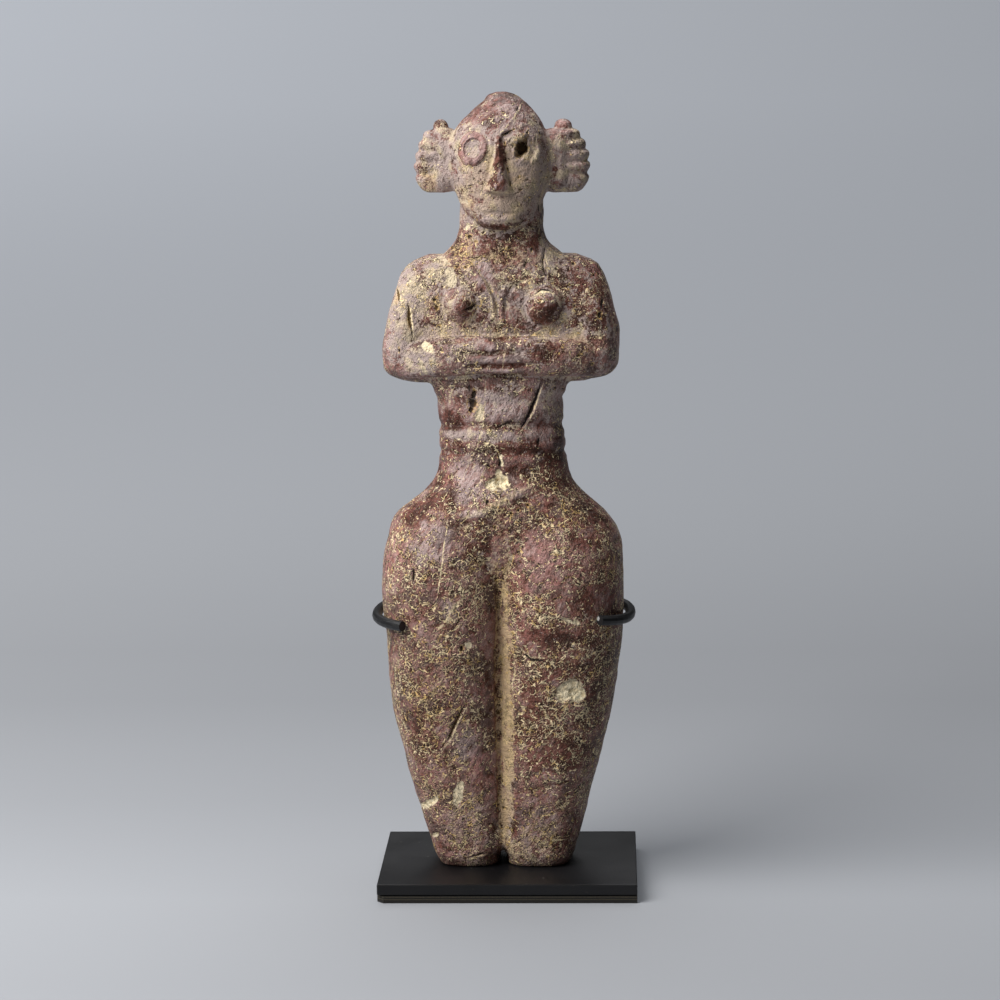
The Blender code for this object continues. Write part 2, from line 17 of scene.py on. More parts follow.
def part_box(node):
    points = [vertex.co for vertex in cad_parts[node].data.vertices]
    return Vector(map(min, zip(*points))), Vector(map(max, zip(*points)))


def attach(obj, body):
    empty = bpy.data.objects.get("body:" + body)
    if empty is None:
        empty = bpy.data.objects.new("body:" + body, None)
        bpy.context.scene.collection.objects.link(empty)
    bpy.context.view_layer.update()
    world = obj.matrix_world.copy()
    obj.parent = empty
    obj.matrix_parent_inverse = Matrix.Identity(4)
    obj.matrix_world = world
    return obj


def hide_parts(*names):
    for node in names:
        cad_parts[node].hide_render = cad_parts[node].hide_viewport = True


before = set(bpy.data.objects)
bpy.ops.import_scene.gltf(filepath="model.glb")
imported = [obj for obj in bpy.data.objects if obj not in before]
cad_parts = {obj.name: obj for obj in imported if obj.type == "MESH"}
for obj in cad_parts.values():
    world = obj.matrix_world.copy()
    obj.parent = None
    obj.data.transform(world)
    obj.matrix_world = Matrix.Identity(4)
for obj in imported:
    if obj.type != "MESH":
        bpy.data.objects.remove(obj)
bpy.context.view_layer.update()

# Driving dimensions, the same as the solids', in metres
MM = 0.001
UNIT = 240 * MM / 240
PLATE_DEPTH = 60 * MM
PLATE_THICKNESS = 3.4 * MM
PAD_THICKNESS = 2.2 * MM
ROD_RADIUS = 1.6 * MM
POST_TO_BACK_EDGE = 6.6 * MM
SEAT_GAP = 0.3 * MM
PRONG_GAP = 0.5 * MM
PRONG_HEIGHT = 79
FEET_Z = PAD_THICKNESS + SEAT_GAP + PLATE_THICKNESS + SEAT_GAP
POST_Y = PLATE_DEPTH / 2 - POST_TO_BACK_EDGE

# Fineness of the carved mesh, in units
VOXEL = 0.45
IDOL_TRIANGLES = 190000
SOFTEN_FACTOR = 0.5
SOFTEN_ROUNDS = 5
TUFT_RINGS = 110
OUTLINE_SIDES = 96
LIMB_SIDES = 40
ROUND = 2
LIMB_SQUARENESS = 2.3
FOREARM_SQUARENESS = 2.8
BLUNT_END = ((0.55, 0.8), (0.85, 0.45))

# Level outlines of the body, each: height, left, right, front, back, squareness
TRUNK = (
    (84, -33, 33, -14.5, 18.5, 2.8), (96, -36.6, 36.9, -17.6, 22, 2.6),
    (102, -35.8, 36.6, -19.4, 21.4, 2.5), (108, -34.4, 34.1, -20.4, 19.8, 2.3),
    (111.5, -32.2, 31.1, -20.4, 18.6, 2.3), (114.5, -28.3, 27.5, -19.8, 17.4, 2.3),
    (117.7, -24.4, 24.1, -18.8, 16.4, 2.3), (121, -21.4, 21.8, -17.6, 15.5, 2.3),
    (125, -19.7, 20.5, -15.6, 14.6, 2.4), (131, -19.3, 19.8, -15.6, 13.8, 2.4),
    (138, -19.2, 19.4, -15.6, 13.3, 2.4), (145, -19.6, 19.3, -15.8, 13.1, 2.4),
    (149, -20.4, 20, -15.9, 13.2, 2.5), (153, -22.4, 21.8, -15.6, 13.4, 2.6),
    (160, -25, 25, -13, 13.8, 2.6), (172, -27, 27, -13.6, 14.2, 2.6), (181, -26, 26, -13.4, 14, 2.5),
    (187, -22.5, 23.5, -12.6, 13, 2.4), (191, -17, 18.6, -11.8, 12.2, 2.3),
    (194, -14.3, 15.3, -11.4, 11.8, 2.3), (198, -12.7, 13.6, -11.3, 11.6, 2.3),
    (204, -12.4, 13.5, -11.3, 11.8, 2.3), (208, -12, 13, -11, 12, 2.3),
)
SHOULDERS = (
    (151.8, -28.4, 27.5, -6.5, 7.5, 2.8), (153, -32.7, 31.8, -9, 9.8, 3), (155, -35.8, 34.6, -11, 11.6, 3),
    (158, -36.5, 35.9, -12, 12.6, 3.2), (162, -36.3, 36.2, -12.4, 13, 3.4),
    (168, -35.3, 36, -12.4, 13, 3.6), (175, -33.4, 34.4, -12.2, 12.8, 3.6),
    (181, -31.5, 33, -11.8, 12.4, 3.4), (185.5, -29.8, 31.1, -11, 11.6, 3),
    (188.5, -26.6, 28.3, -9.4, 10.2, 2.6), (190.4, -22, 23.5, -7.2, 8.2, 2.4),
)
HEAD = (
    (198.8, -4, 5, -12.6, 5, 2.2), (199.6, -6.4, 7.2, -14.2, 8, 2.2), (201.5, -9, 9.8, -15.1, 11, 2.2),
    (204.5, -11.2, 11.9, -15.6, 13, 2.3), (208, -12.7, 13.5, -15.8, 14.4, 2.3),
    (212, -13.8, 14.7, -16, 15.4, 2.4), (217, -14.8, 15.6, -15.9, 16.2, 2.4),
    (222, -14.9, 15.6, -15.7, 16.6, 2.4), (226, -14.2, 15, -15, 16.2, 2.3),
    (229, -12.7, 13.8, -13.8, 15, 2.2), (232, -10.3, 12.1, -11.8, 12.8, 2.1), (235, -6.9, 9.6, -9, 10, 2),
    (237.5, -4.2, 7.3, -6.2, 7, 2), (239.2, -3, 4.8, -3.4, 4, 2), (240, -1, 2.2, -1, 1.6, 2),
)
# One leg's outline, each: height, left leg's outer side, right leg's outer side, front, back, squareness
LEGS = (
    (-1.5, -19.6, 19.2, -9.8, 9.8, 2.6), (0.2, -21, 20.4, -11.2, 11, 2.8), (2, -21.9, 21.3, -12.2, 12, 2.8),
    (7, -23.4, 22.8, -13.2, 12.9, 2.7), (12, -25, 24.2, -13.9, 13.6, 2.6),
    (25, -28.9, 27.2, -15.8, 15.3, 2.5), (35, -31.6, 30.1, -17.5, 16.8, 2.4),
    (45, -34, 32.7, -19.2, 18.2, 2.3), (54, -35.4, 34.3, -20.6, 19.4, 2.3),
    (64, -36.2, 35.6, -21.7, 20.5, 2.3), (73, -36.7, 37, -22.5, 21.2, 2.3),
    (88, -37.8, 37.5, -23.1, 22.1, 2.3), (97, -37.2, 37.2, -22.7, 22.9, 2.3),
    (104, -35.3, 35.9, -21.6, 22.4, 2.3), (110, -31, 30.8, -19.9, 19.9, 2.3),
    (115, -26, 25.8, -17, 15, 2.3), (118, -22, 23, -13, 10, 2.3),
)
GROOVE_X = -0.8
LEG_OVERLAP = 3
FEET_GAP = 2.4
FEET_GAP_TOP = 6
HUMP_START = 104
HUMP_SPREAD = 9 / 14
GROOVE_FLOOR = (
    (5.6, -7.4, 8), (10, -9, 9.8), (25, -10.6, 12), (50, -13, 16), (75, -14.2, 18.4), (92, -12, 18),
)
GROOVE_FLOOR_HALF_WIDTH = 3.4

SHELVES = (208.9, 215, 218.6, 222, 225.4, 228.9)
TUFT_REACH = 25.9
TUFT_MIDDLE = 217
TUFT_BOW = 0.029
RIDGE_SPREAD = 0.9
TUFT_Y = 1.5
RIGHT_TUFT_SHIFT = 1.9
SHELL_HALF_DEPTH = 5
SHELL_INNER_X = 15
SHELF_DEPTH = 1.3
RIGHT_SHELF_DEPTH = 1.6
LEDGE_START = (-0.1, 0.7)
LEDGE_END = (1, 0.84)
STEP_INSET = 0.7
TUFT_END = 1.3
ROOT_SHARE = 0.3
KNOB = (17.6, 229.4)
KNOB_RADII = (2.1, 2.8, 2)
RIGHT_KNOB_RADII = (2.7, 2.8, 2)
EAR_X = 16.4
EAR = ((209.4, 1.8, 3.6), (210.6, 3.2, 5.2), (219, 4, 6.2), (226, 3.8, 5.8), (228.6, 2.4, 4.2))
NOSE = (
    (210.4, -3.3, 3.7, -18.4, -13, 1.8), (211.1, -3.5, 4, -19.3, -13, 1.8),
    (213.3, -2.8, 3.6, -19.2, -12.8, 1.7), (217.2, -1.9, 3, -18.6, -12.6, 1.6),
    (220.6, -1.3, 2.4, -18, -12.4, 1.6), (223.7, -0.7, 1.8, -17.3, -12.2, 1.6),
    (227.2, -0.1, 1.2, -15.8, -11.8, 1.6),
)
FOREARM = (
    (-30, -7, 159.2, 5.4, 4.6), (-24, -10, 159.8, 5.8, 5), (-14, -13.2, 160.7, 5.9, 4.8),
    (-2, -14.4, 161.1, 5.8, 4.4), (8, -14.3, 161.2, 5.2, 3.8),
)
UPPER_ARM = (
    (-25, -2.4, 182.5, 4.8, 6.6), (-26.8, -3.8, 174, 6.6, 8.3), (-29.4, -4.6, 161, 6.6, 8.4),
)
# The breasts and their tips, each: middle, radii
BREASTS = (
    ((-11.6, -12.4, 176.2), (5.2, 2.6, 5.2)), ((-11.3, -13.6, 176.4), (3.2, 2.6, 3.2)),
    ((13.4, -11.6, 175.8), (6, 3.9, 6)), ((13.6, -13.6, 175.8), (3.9, 3.3, 4.2)),
)


def clamp01(values):
    return np.clip(values, 0, 1)


def ease(low, high, values):
    """0 up to low, 1 from high on, smooth between; low may be above high."""
    share = clamp01((values - low) / (high - low))
    return share * share * (3 - 2 * share)


def object_from(name, builder):
    """A named object from a bmesh, which it uses up."""
    mesh = bpy.data.meshes.new(name)
    bmesh.ops.recalc_face_normals(builder, faces=builder.faces[:])
    builder.to_mesh(mesh)
    builder.free()
    thing = bpy.data.objects.new(name, mesh)
    bpy.context.scene.collection.objects.link(thing)
    return thing


def along_curve(rows, spacing):
    """The rows joined by a smooth curve over their first column, read at even steps of that column."""
    rows = np.array(rows, dtype=float)
    keys = rows[:, 0]
    steps = np.linspace(keys[0], keys[-1], max(2, round((keys[-1] - keys[0]) / spacing)) + 1)
    slopes = np.gradient(rows, keys, axis=0)
    left = np.clip(np.searchsorted(keys, steps, side="right") - 1, 0, len(keys) - 2)
    span = (keys[left + 1] - keys[left])[:, None]
    t = (steps - keys[left])[:, None] / span
    start = (1 + 2 * t) * (1 - t) ** 2 * rows[left] + t * (1 - t) ** 2 * span * slopes[left]
    end = t * t * (3 - 2 * t) * rows[left + 1] + t * t * (t - 1) * span * slopes[left + 1]
    return start + end


def oval(half_width, half_depth, squareness, sides):
    """Points round a superellipse."""
    points = []
    for i in range(sides):
        angle = math.tau * i / sides
        across = math.copysign(abs(math.cos(angle)) ** (2 / squareness), math.cos(angle))
        along = math.copysign(abs(math.sin(angle)) ** (2 / squareness), math.sin(angle))
        points.append((half_width * across, half_depth * along))
    return points


def skin(rings, name):
    """A closed body whose skin passes through rings of points."""
    shape = bmesh.new()
    loops = [[shape.verts.new(point) for point in ring] for ring in rings]
    for lower, upper in zip(loops, loops[1:]):
        for i in range(len(lower)):
            after = (i + 1) % len(lower)
            shape.faces.new((lower[i], lower[after], upper[after], upper[i]))
    shape.faces.new(loops[0][::-1])
    shape.faces.new(loops[-1])
    return object_from(name, shape)


def stacked(name, rows, spacing=0.9):
    """A body built up from level outlines."""
    rings = []
    for height, left, right, front, back, squareness in along_curve(rows, spacing):
        middle = ((left + right) / 2, (front + back) / 2)
        outline = oval((right - left) / 2, (back - front) / 2, squareness, OUTLINE_SIDES)
        rings.append([(middle[0] + x, middle[1] + y, height) for x, y in outline])
    return skin(rings, name)


def limb(name, stations, mirror=1, spacing=1.0, squareness=LIMB_SQUARENESS):
    """A body swept along stations, each: x, y, height, half width across, half depth."""
    stations = np.array(stations, dtype=float)
    stations[:, 0] *= mirror
    lengths = np.linalg.norm(np.diff(stations[:, :3], axis=0), axis=1)
    reach = np.concatenate([[0], np.cumsum(lengths)])
    path = along_curve(np.column_stack([reach, stations]), spacing)[:, 1:]
    tangents = np.gradient(path[:, :3], axis=0)
    rings = []
    for (x, y, z, half_width, half_depth), tangent in zip(path, tangents):
        ahead = Vector(tangent).normalized()
        deep = Vector((0, 1, 0))
        deep = (deep - ahead * deep.dot(ahead)).normalized()
        wide = ahead.cross(deep)
        centre = Vector((x, y, z))
        outline = oval(half_width, half_depth, squareness, LIMB_SIDES)
        rings.append([centre + wide * a + deep * b for a, b in outline])
    rings = round_end(rings[::-1])
    rings = round_end(rings[::-1])
    return skin(rings, name)


def round_end(rings):
    """The rings with two smaller ones past the last, so that the end is blunt and not square."""
    last = rings[-1]
    centre = sum((Vector(p) for p in last), Vector()) / len(last)
    before = sum((Vector(p) for p in rings[-2]), Vector()) / len(last)
    ahead = (centre - before).normalized()
    reach = min((Vector(p) - centre).length for p in last)
    for share, size in BLUNT_END:
        rings = rings + [[centre + ahead * reach * share + (Vector(p) - centre) * size for p in last]]
    return rings


def ball(name, centre, radii):
    shape = bmesh.new()
    place = Matrix.Translation(centre) @ Matrix.Diagonal((*radii, 1))
    bmesh.ops.create_uvsphere(shape, u_segments=48, v_segments=32, radius=1, matrix=place)
    return object_from(name, shape)


def leg(name, side):
    """One leg, -1 for the left and 1 for the right, which meets the other along the groove."""
    rows = []
    for height, left, right, front, back, squareness in LEGS:
        outer = left if side < 0 else right
        if height < FEET_GAP_TOP:
            inner = GROOVE_X + side * FEET_GAP / 2
        else:
            inner = GROOVE_X - side * LEG_OVERLAP
        inner += side * HUMP_SPREAD * max(0.0, height - HUMP_START)
        rows.append((height, min(outer, inner), max(outer, inner), front, back, squareness))
    return stacked(name, rows)


def groove_floor():
    rows = []
    half = GROOVE_FLOOR_HALF_WIDTH
    for height, front, back in GROOVE_FLOOR:
        rows.append((height, GROOVE_X - half, GROOVE_X + half, front, back, ROUND))
    return stacked("groove floor", rows)


def hair_tuft(side):
    """The ear strip and the shelved tuft beside the head, -1 for the left and 1 for the right."""
    shift = RIGHT_TUFT_SHIFT if side > 0 else 0.0
    ear_x = EAR_X + shift / 2
    rows = []
    for height, half_width, half_depth in EAR:
        edges = sorted((side * (ear_x - half_width), side * (ear_x + half_width)))
        rows.append((height, *edges, TUFT_Y - half_depth, TUFT_Y + half_depth, LIMB_SQUARENESS))
    pieces = [stacked("ear", rows)]
    step_depth = RIGHT_SHELF_DEPTH if side > 0 else SHELF_DEPTH
    rings = []
    for height in np.linspace(SHELVES[0], SHELVES[-1], TUFT_RINGS):
        shelf = np.interp(height, SHELVES, range(len(SHELVES))) % 1
        ledge = ease(*LEDGE_START, shelf) * ease(*LEDGE_END, shelf)
        end = min(height - SHELVES[0], SHELVES[-1] - height)
        step = step_depth * (1 - ledge)
        inset = STEP_INSET * step + (1 - min(1.0, end / TUFT_END)) ** 2
        reach = TUFT_REACH + shift - TUFT_BOW * (height - TUFT_MIDDLE) ** 2 - inset
        half_depth = SHELL_HALF_DEPTH - inset + STEP_INSET * step
        middle = (reach + SHELL_INNER_X) / 2
        half_width = (reach - SHELL_INNER_X) / 2
        ring = []
        for x, y in oval(half_width, half_depth, LIMB_SQUARENESS, LIMB_SIDES):
            out = (middle + x - SHELL_INNER_X) / (TUFT_REACH - SHELL_INNER_X)
            fan = RIDGE_SPREAD + (1 - RIDGE_SPREAD) * out
            y *= 1 - step * clamp01(2 * out - ROOT_SHARE) / SHELL_HALF_DEPTH
            ring.append((side * (middle + x), TUFT_Y + y, TUFT_MIDDLE + (height - TUFT_MIDDLE) * fan))
        rings.append(ring)
    pieces.append(skin(rings, "shell"))
    knob = RIGHT_KNOB_RADII if side > 0 else KNOB_RADII
    pieces.append(ball("knob", (side * (KNOB[0] + shift), TUFT_Y, KNOB[1]), knob))
    return pieces


def apply_modifiers(thing):
    """Puts the modifiers' result in the object's mesh."""
    graph = bpy.context.evaluated_depsgraph_get()
    graph.update()
    mesh = bpy.data.meshes.new_from_object(thing.evaluated_get(graph))
    thing.modifiers.clear()
    old = thing.data
    thing.data = mesh
    bpy.data.meshes.remove(old)


def fused(name, pieces):
    """The pieces grown together into one skin of even fineness."""
    shape = bmesh.new()
    for piece in pieces:
        shape.from_mesh(piece.data)
        bpy.data.objects.remove(piece, do_unlink=True)
    body = object_from(name, shape)
    remesh = body.modifiers.new("Grow together", "REMESH")
    remesh.mode = "VOXEL"
    remesh.voxel_size = VOXEL
    soften = body.modifiers.new("Soften", "SMOOTH")
    soften.factor = SOFTEN_FACTOR
    soften.iterations = SOFTEN_ROUNDS
    apply_modifiers(body)
    return body


def build_form():
    pieces = [
        stacked("trunk", TRUNK),
        stacked("shoulders", SHOULDERS),
        stacked("head", HEAD),
        stacked("nose", NOSE, spacing=0.6),
        leg("left leg", -1),
        leg("right leg", 1),
        groove_floor(),
    ]
    pieces.extend(ball("breast", *place) for place in BREASTS)
    for side in (-1, 1):
        pieces.append(limb("forearm", FOREARM, mirror=-side, squareness=FOREARM_SQUARENESS))
        pieces.append(limb("upper arm", UPPER_ARM, mirror=-side))
        pieces.extend(hair_tuft(side))
    return fused("stone_idol", pieces)


# Marks on the front are placed by x and height, in units

# The left eye: a flat rim round a shallow basin, leaning a little to the right
LEFT_EYE = (-7.45, 223.4)
LEFT_EYE_RADII = (4.25, 5)
LEFT_EYE_LEAN = 22
# The right eye is broken: a deep hole beside a shallow socket floor
SOCKET = (8.7, 223.4)
SOCKET_RADII = (3.7, 3.8)
HOLE = (7.4, 223.3)
HOLE_RADII = (2, 2.8)
# Broken places round the right eye and brow, each: x, height, half width, half height, lean, depth
FACE_BREAKS = (
    (8.3, 225.6, 0.8, 1.5, 10, 1.6), (3.2, 227.5, 2.6, 1, -15, 1), (1.6, 225.9, 1, 1.2, 20, 0.7),
    (5.2, 224.2, 1.2, 0.9, 30, 0.6), (10.6, 221.6, 1.3, 1, -20, 0.6), (11.4, 225.4, 0.5, 1.6, 0, 0.6),
    (3.6, 220.6, 0.8, 1.8, 10, 0.5), (-10.2, 216, 1.7, 0.8, 10, 0.4),
)
# Where the breaks get painted shade inside, each: x, height, half width, half height, lean
SHADED_BREAKS = (
    (2.8, 228, 1.2, 0.32, -24), (4.7, 228.8, 0.8, 0.3, -20), (12.6, 227.6, 0.2, 0.8, 0),
    (9.3, 228.9, 0.2, 0.6, 10), (2.3, 225.2, 0.3, 0.7, 0), (3.1, 217.5, 0.28, 1.6, -8),
    (3.8, 213, 0.26, 1, -10),
)
# Strokes pressed into the front, each: half width, depth, path
GROOVES = (
    (0.7, 0.6, ((-4.8, 204.4), (1, 204.1), (6.4, 203.9))), (0.8, 0.6, ((2, 226), (3.4, 218), (4.4, 211))),
    (0.8, 0.4, ((-0.7, 226), (-2.3, 218), (-4.1, 211))), (1.1, 0.9, ((-1.2, 98), (-1.4, 60), (-1.7, 14))),
    (0.7, 0.3, ((-3.6, 210.2), (0, 209.9), (3.6, 210.2))),
    (0.9, 0.65, ((-10.4, 162.1), (-2, 162.2), (5.4, 162.6), (13, 162.9))),
    (0.9, 0.7, ((-11, 158.4), (6.6, 158.6), (14, 159))), (0.8, 0.55, ((-10.4, 155.3), (8.6, 155.5))),
    (0.9, 0.5, ((-21.6, 164.7), (-14, 165.4), (-6.5, 165.9), (8.3, 167.3), (14.8, 166.6), (18.5, 164.4))),
    (0.9, 1, ((-9, 190), (-6.6, 186.8), (-3.4, 183.2), (-0.8, 177.4), (-0.1, 170.6))),
    (0.9, 0.7, ((8.6, 184.6), (4.4, 181.6), (2.2, 178), (1.9, 171))),
    (1.2, 0.45, ((-12.4, 182.6), (-16.6, 180.4), (-17.8, 176.4), (-16.4, 172.4), (-12.4, 170.2))),
    (0.8, 0.3, ((-8.4, 180.6), (-6.4, 178), (-6.6, 174))),
    (1, 0.35, ((7.4, 177.6), (8.2, 173), (11, 169.9), (15, 169.6))),
    (2.6, 0.35, ((-14.5, 108.6), (-4, 111), (3, 114.6), (12.5, 118.8))),
    (0.8, 0.3, ((-17.9, 227.4), (-18.2, 219), (-17.6, 209.6))),
    (0.6, 0.25, ((15.6, 227.6), (16, 218), (15.4, 209.6))),
    (0.7, 0.3, ((17.9, 226), (18.2, 218), (17.7, 210))),
    (1.8, 0.4, ((-17.5, 42), (-16.8, 34), (-13.4, 28))), (1, 0.35, ((6, 29), (12, 32), (22, 31))),
    (0.9, 0.3, ((4, 24.6), (12, 26.4), (20, 28.6))), (1.4, 0.3, ((8, 76), (14, 78), (22, 82.4))),
)
# Raised strokes, each: half width, rise, path
RIDGES = (
    (0.9, 0.35, ((-5.2, 202.3), (-0.4, 202.2), (6, 202.4))),
    (0.5, 0.3, ((0.6, 227.8), (3.6, 230.8), (6.3, 234.6), (7.2, 236.4))),
    (1.9, 0.35, ((-3, 206.9), (1, 207.2), (5.4, 206.9))), (0.6, 0.5, ((0.9, 181), (0.8, 170.6))),
    (0.7, 0.3, ((-10.2, 190.4), (-7.9, 187.4), (-4.8, 184), (-2.2, 178.4), (-1.6, 172))),
    (2, 0.45, ((-18, 110.4), (-6, 113.8), (1.2, 117.2), (9.5, 121.2), (15, 122.6))),
    (1.1, 0.3, ((-11, 160.3), (8, 160.6))), (1, 0.3, ((-11, 156.8), (8, 157.1))),
    (1.3, 0.15, ((-5.4, 199.6), (0.4, 199.1), (6, 199.8))),
    (1, 0.25, ((4.6, 182.6), (2.9, 179), (3.1, 172))), (1.8, 0.3, ((-14, 118), (-6, 124), (0, 127.4))),
)
# Waist grooves, each: height at the flank, climb towards the front, half width, depth
WAIST_GROOVES = (
    (146.6, 0.04, 2.4, 0.55), (138.2, 0.10, 2.2, 0.9), (134.3, 0.05, 1.1, 0.22), (130.1, 0.06, 2.2, 0.75),
    (150.6, 0.02, 1.6, 0.3),
)
# Cracks, each: half width, depth, path
CRACKS = (
    (0.42, 0.9, ((12.4, 152.4), (10.5, 146.5), (8.5, 142.4), (6.3, 138.8))),
    (0.19, 0.4, ((1.4, 227.6), (3, 228.3), (5.2, 229))),
    (0.5, 0.9, ((-27.5, 176.3), (-27.1, 172.4), (-26.6, 168.9))),
    (0.16, 0.3, ((-26.6, 168.9), (-26, 166.6))), (0.36, 0.7, ((-31.5, 180.4), (-30.3, 177.4))),
    (0.32, 0.7, ((-11.8, 53.6), (-15, 47.4), (-17.5, 42))), (0.22, 0.3, ((-17.5, 42), (-19.2, 39.6))),
    (0.34, 0.8, ((-26.4, 96.6), (-26.6, 92.8))), (0.22, 0.4, ((-1.2, 139.3), (1.6, 140.4), (3.8, 141.6))),
    (0.36, 0.7, ((-0.1, 129.4), (-0.3, 127.2))), (0.28, 0.5, ((-4.6, 127.2), (-3.7, 127.7), (-2.9, 127.3))),
    (0.26, 0.5, ((11.8, 135.6), (11.7, 133.2))), (0.24, 0.4, ((-9.4, 152.4), (-9.2, 150.2))),
    (0.2, 0.5, ((12.2, 206.2), (12, 203.8))), (0.15, 0.3, ((-8.9, 212.2), (-7.9, 212.3), (-7, 212.8))),
    (0.22, 0.35, ((6.2, 235.6), (5.6, 234.4))), (0.25, 0.5, ((11, 179.9), (13.2, 180.9), (15.6, 180.6))),
    (0.34, 0.7, ((-10.4, 175), (-8.6, 175.6), (-6.8, 176.8))), (0.25, 0.5, ((30.9, 177.8), (30.8, 174.6))),
    (0.22, 0.45, ((13.9, 193.4), (13.4, 188.6), (13.9, 184.6))), (0.2, 0.35, ((-7.9, 190), (-4.9, 191.3))),
    (0.26, 0.5, ((8.1, 189.4), (7.6, 187.2))), (0.24, 0.4, ((-9.2, 4.2), (-7.7, 4.7), (-6.2, 4.6))),
    (0.13, 0.3, ((4.8, 209.9), (6.4, 210.4), (7.8, 211.4))),
    (0.3, 0.5, ((6.5, 70.1), (9.2, 68.2), (13.1, 68.3))), (0.2, 0.3, ((-14, 79), (-12.4, 81.4))),
)
# Pale veins and scratches, each: half width, strength, path
VEINS = (
    (0.22, 0.8, ((-16.2, 110.2), (-17, 105), (-17.7, 99.5), (-19, 91), (-19.9, 86.3))),
    (0.26, 0.45, ((-4.1, 152.5), (-4.6, 146), (-5.2, 140.9), (-5.5, 137.9), (-7.5, 132.7), (-11.3, 123.8))),
    (0.7, 0.5, ((-11.3, 88.8), (-14.6, 84.6), (-17, 80.4), (-19.9, 77.7))),
    (0.36, 0.5, ((-12.6, 79.6), (-14.6, 77.9))), (0.34, 0.5, ((-14, 151.7), (-15, 148.6), (-15.6, 146))),
    (0.24, 0.8, ((0.6, 227.7), (3.6, 230.7), (6.3, 234.5), (7.2, 236.3))),
    (0.34, 0.7, ((6.5, 71), (8.6, 68.9), (13.1, 69.2))), (0.34, 0.6, ((3.9, 64.6), (3.2, 60), (3.1, 55))),
    (0.26, 0.7, ((6.9, 138.3), (9.1, 142), (11.2, 146.4), (13.1, 152.2))),
    (0.28, 0.7, ((-11.2, 53), (-14.4, 46.8), (-16.9, 41.6), (-18.4, 39.2))),
    (0.3, 0.6, ((11.2, 8), (14, 8.9), (18.5, 8.9))),
    (0.3, 0.6, ((4.6, 184.4), (7.6, 183.2), (10.6, 184.2))),
    (0.3, 0.7, ((-10.2, 174.2), (-8.4, 174.8), (-6.5, 176.1))),
    (0.3, 0.8, ((10.6, 179.3), (13.2, 180.2), (16.2, 179.9))),
    (0.26, 0.6, ((13.6, 192), (15, 188), (14.6, 184))), (0.3, 0.6, ((-9.5, 3.5), (-7.6, 4), (-5.6, 4))),
    (0.9, 0.28, ((-11.8, 111.8), (-4.6, 114.4), (1.2, 117.6), (9.4, 121.4))),
    (0.24, 0.45, ((-26.6, 158), (-22.4, 157))), (0.24, 0.4, ((-9.4, 119), (-6, 123), (-4.6, 127))),
    (0.24, 0.4, ((-18, 182), (-22, 176), (-23, 170))), (0.3, 0.5, ((-1.7, 176), (-4, 183), (-7.2, 187.6))),
    (0.24, 0.4, ((2, 165), (1, 158))), (0.45, 0.9, ((-26.7, 176.4), (-26.5, 172.4), (-26, 168.9))),
    (0.36, 0.8, ((-31, 180.6), (-29.8, 177.6))),
)
# Pits, each: x, height, half width, half height, depth
PITS = (
    (12.8, 216.2, 0.35, 0.4, 0.5), (9.1, 213.9, 0.4, 0.35, 0.5), (8.3, 208.2, 0.35, 0.5, 0.5),
    (6.3, 215, 0.4, 0.3, 0.4), (9, 227.9, 0.3, 0.6, 0.5), (6.8, 211.1, 0.6, 0.3, 0.4),
    (-8.8, 196.7, 0.8, 0.6, 0.7), (-6.7, 195.3, 0.5, 0.4, 0.6), (-14.4, 192.9, 0.6, 0.5, 0.7),
    (-12.9, 187.8, 0.7, 0.35, 0.7), (-10, 187.7, 0.6, 0.35, 0.7), (-19.5, 177.9, 0.7, 0.5, 0.7),
    (-19.1, 175.6, 0.6, 0.8, 0.4), (10.1, 192.4, 0.4, 0.7, 0.6), (22.3, 188, 0.5, 0.6, 0.6),
    (29, 184.6, 0.5, 0.5, 0.5), (30.3, 172.8, 0.6, 0.9, 0.5), (22.7, 175.6, 0.35, 0.8, 0.6),
    (-7.7, 149.2, 0.6, 1.2, 0.8), (-8, 146.6, 1.3, 1.7, 1.3), (-8.9, 144.4, 1, 1.1, 0.8),
    (16.6, 150.8, 0.4, 0.5, 0.5), (19, 150, 0.3, 0.4, 0.4), (0, 131.7, 0.6, 0.35, 0.6),
    (-0.5, 130.1, 0.45, 0.45, 0.5), (-4.1, 116.9, 0.5, 0.8, 0.7), (8.2, 115.9, 0.7, 0.5, 0.6),
    (3.3, 113.4, 0.6, 0.5, 0.6), (5.6, 114.5, 0.5, 0.5, 0.6), (-1.7, 109.3, 0.45, 0.5, 0.5),
    (5.5, 101.6, 0.6, 0.4, 0.5), (0.4, 96, 0.5, 0.4, 0.4), (20.4, 94.2, 0.35, 0.35, 0.4),
    (16.4, 87.8, 0.45, 0.4, 0.5), (-12.3, 72.2, 0.6, 1, 0.9), (-1.5, 49.6, 0.45, 0.9, 0.7),
    (-0.2, 18.8, 0.6, 0.4, 0.6), (19.2, 45, 0.4, 0.3, 0.4), (-24, 74, 0.4, 0.3, 0.4),
    (-30.2, 162.6, 0.35, 0.7, 0.5), (28, 158, 0.4, 0.4, 0.5), (24, 161, 0.5, 0.4, 0.5),
)
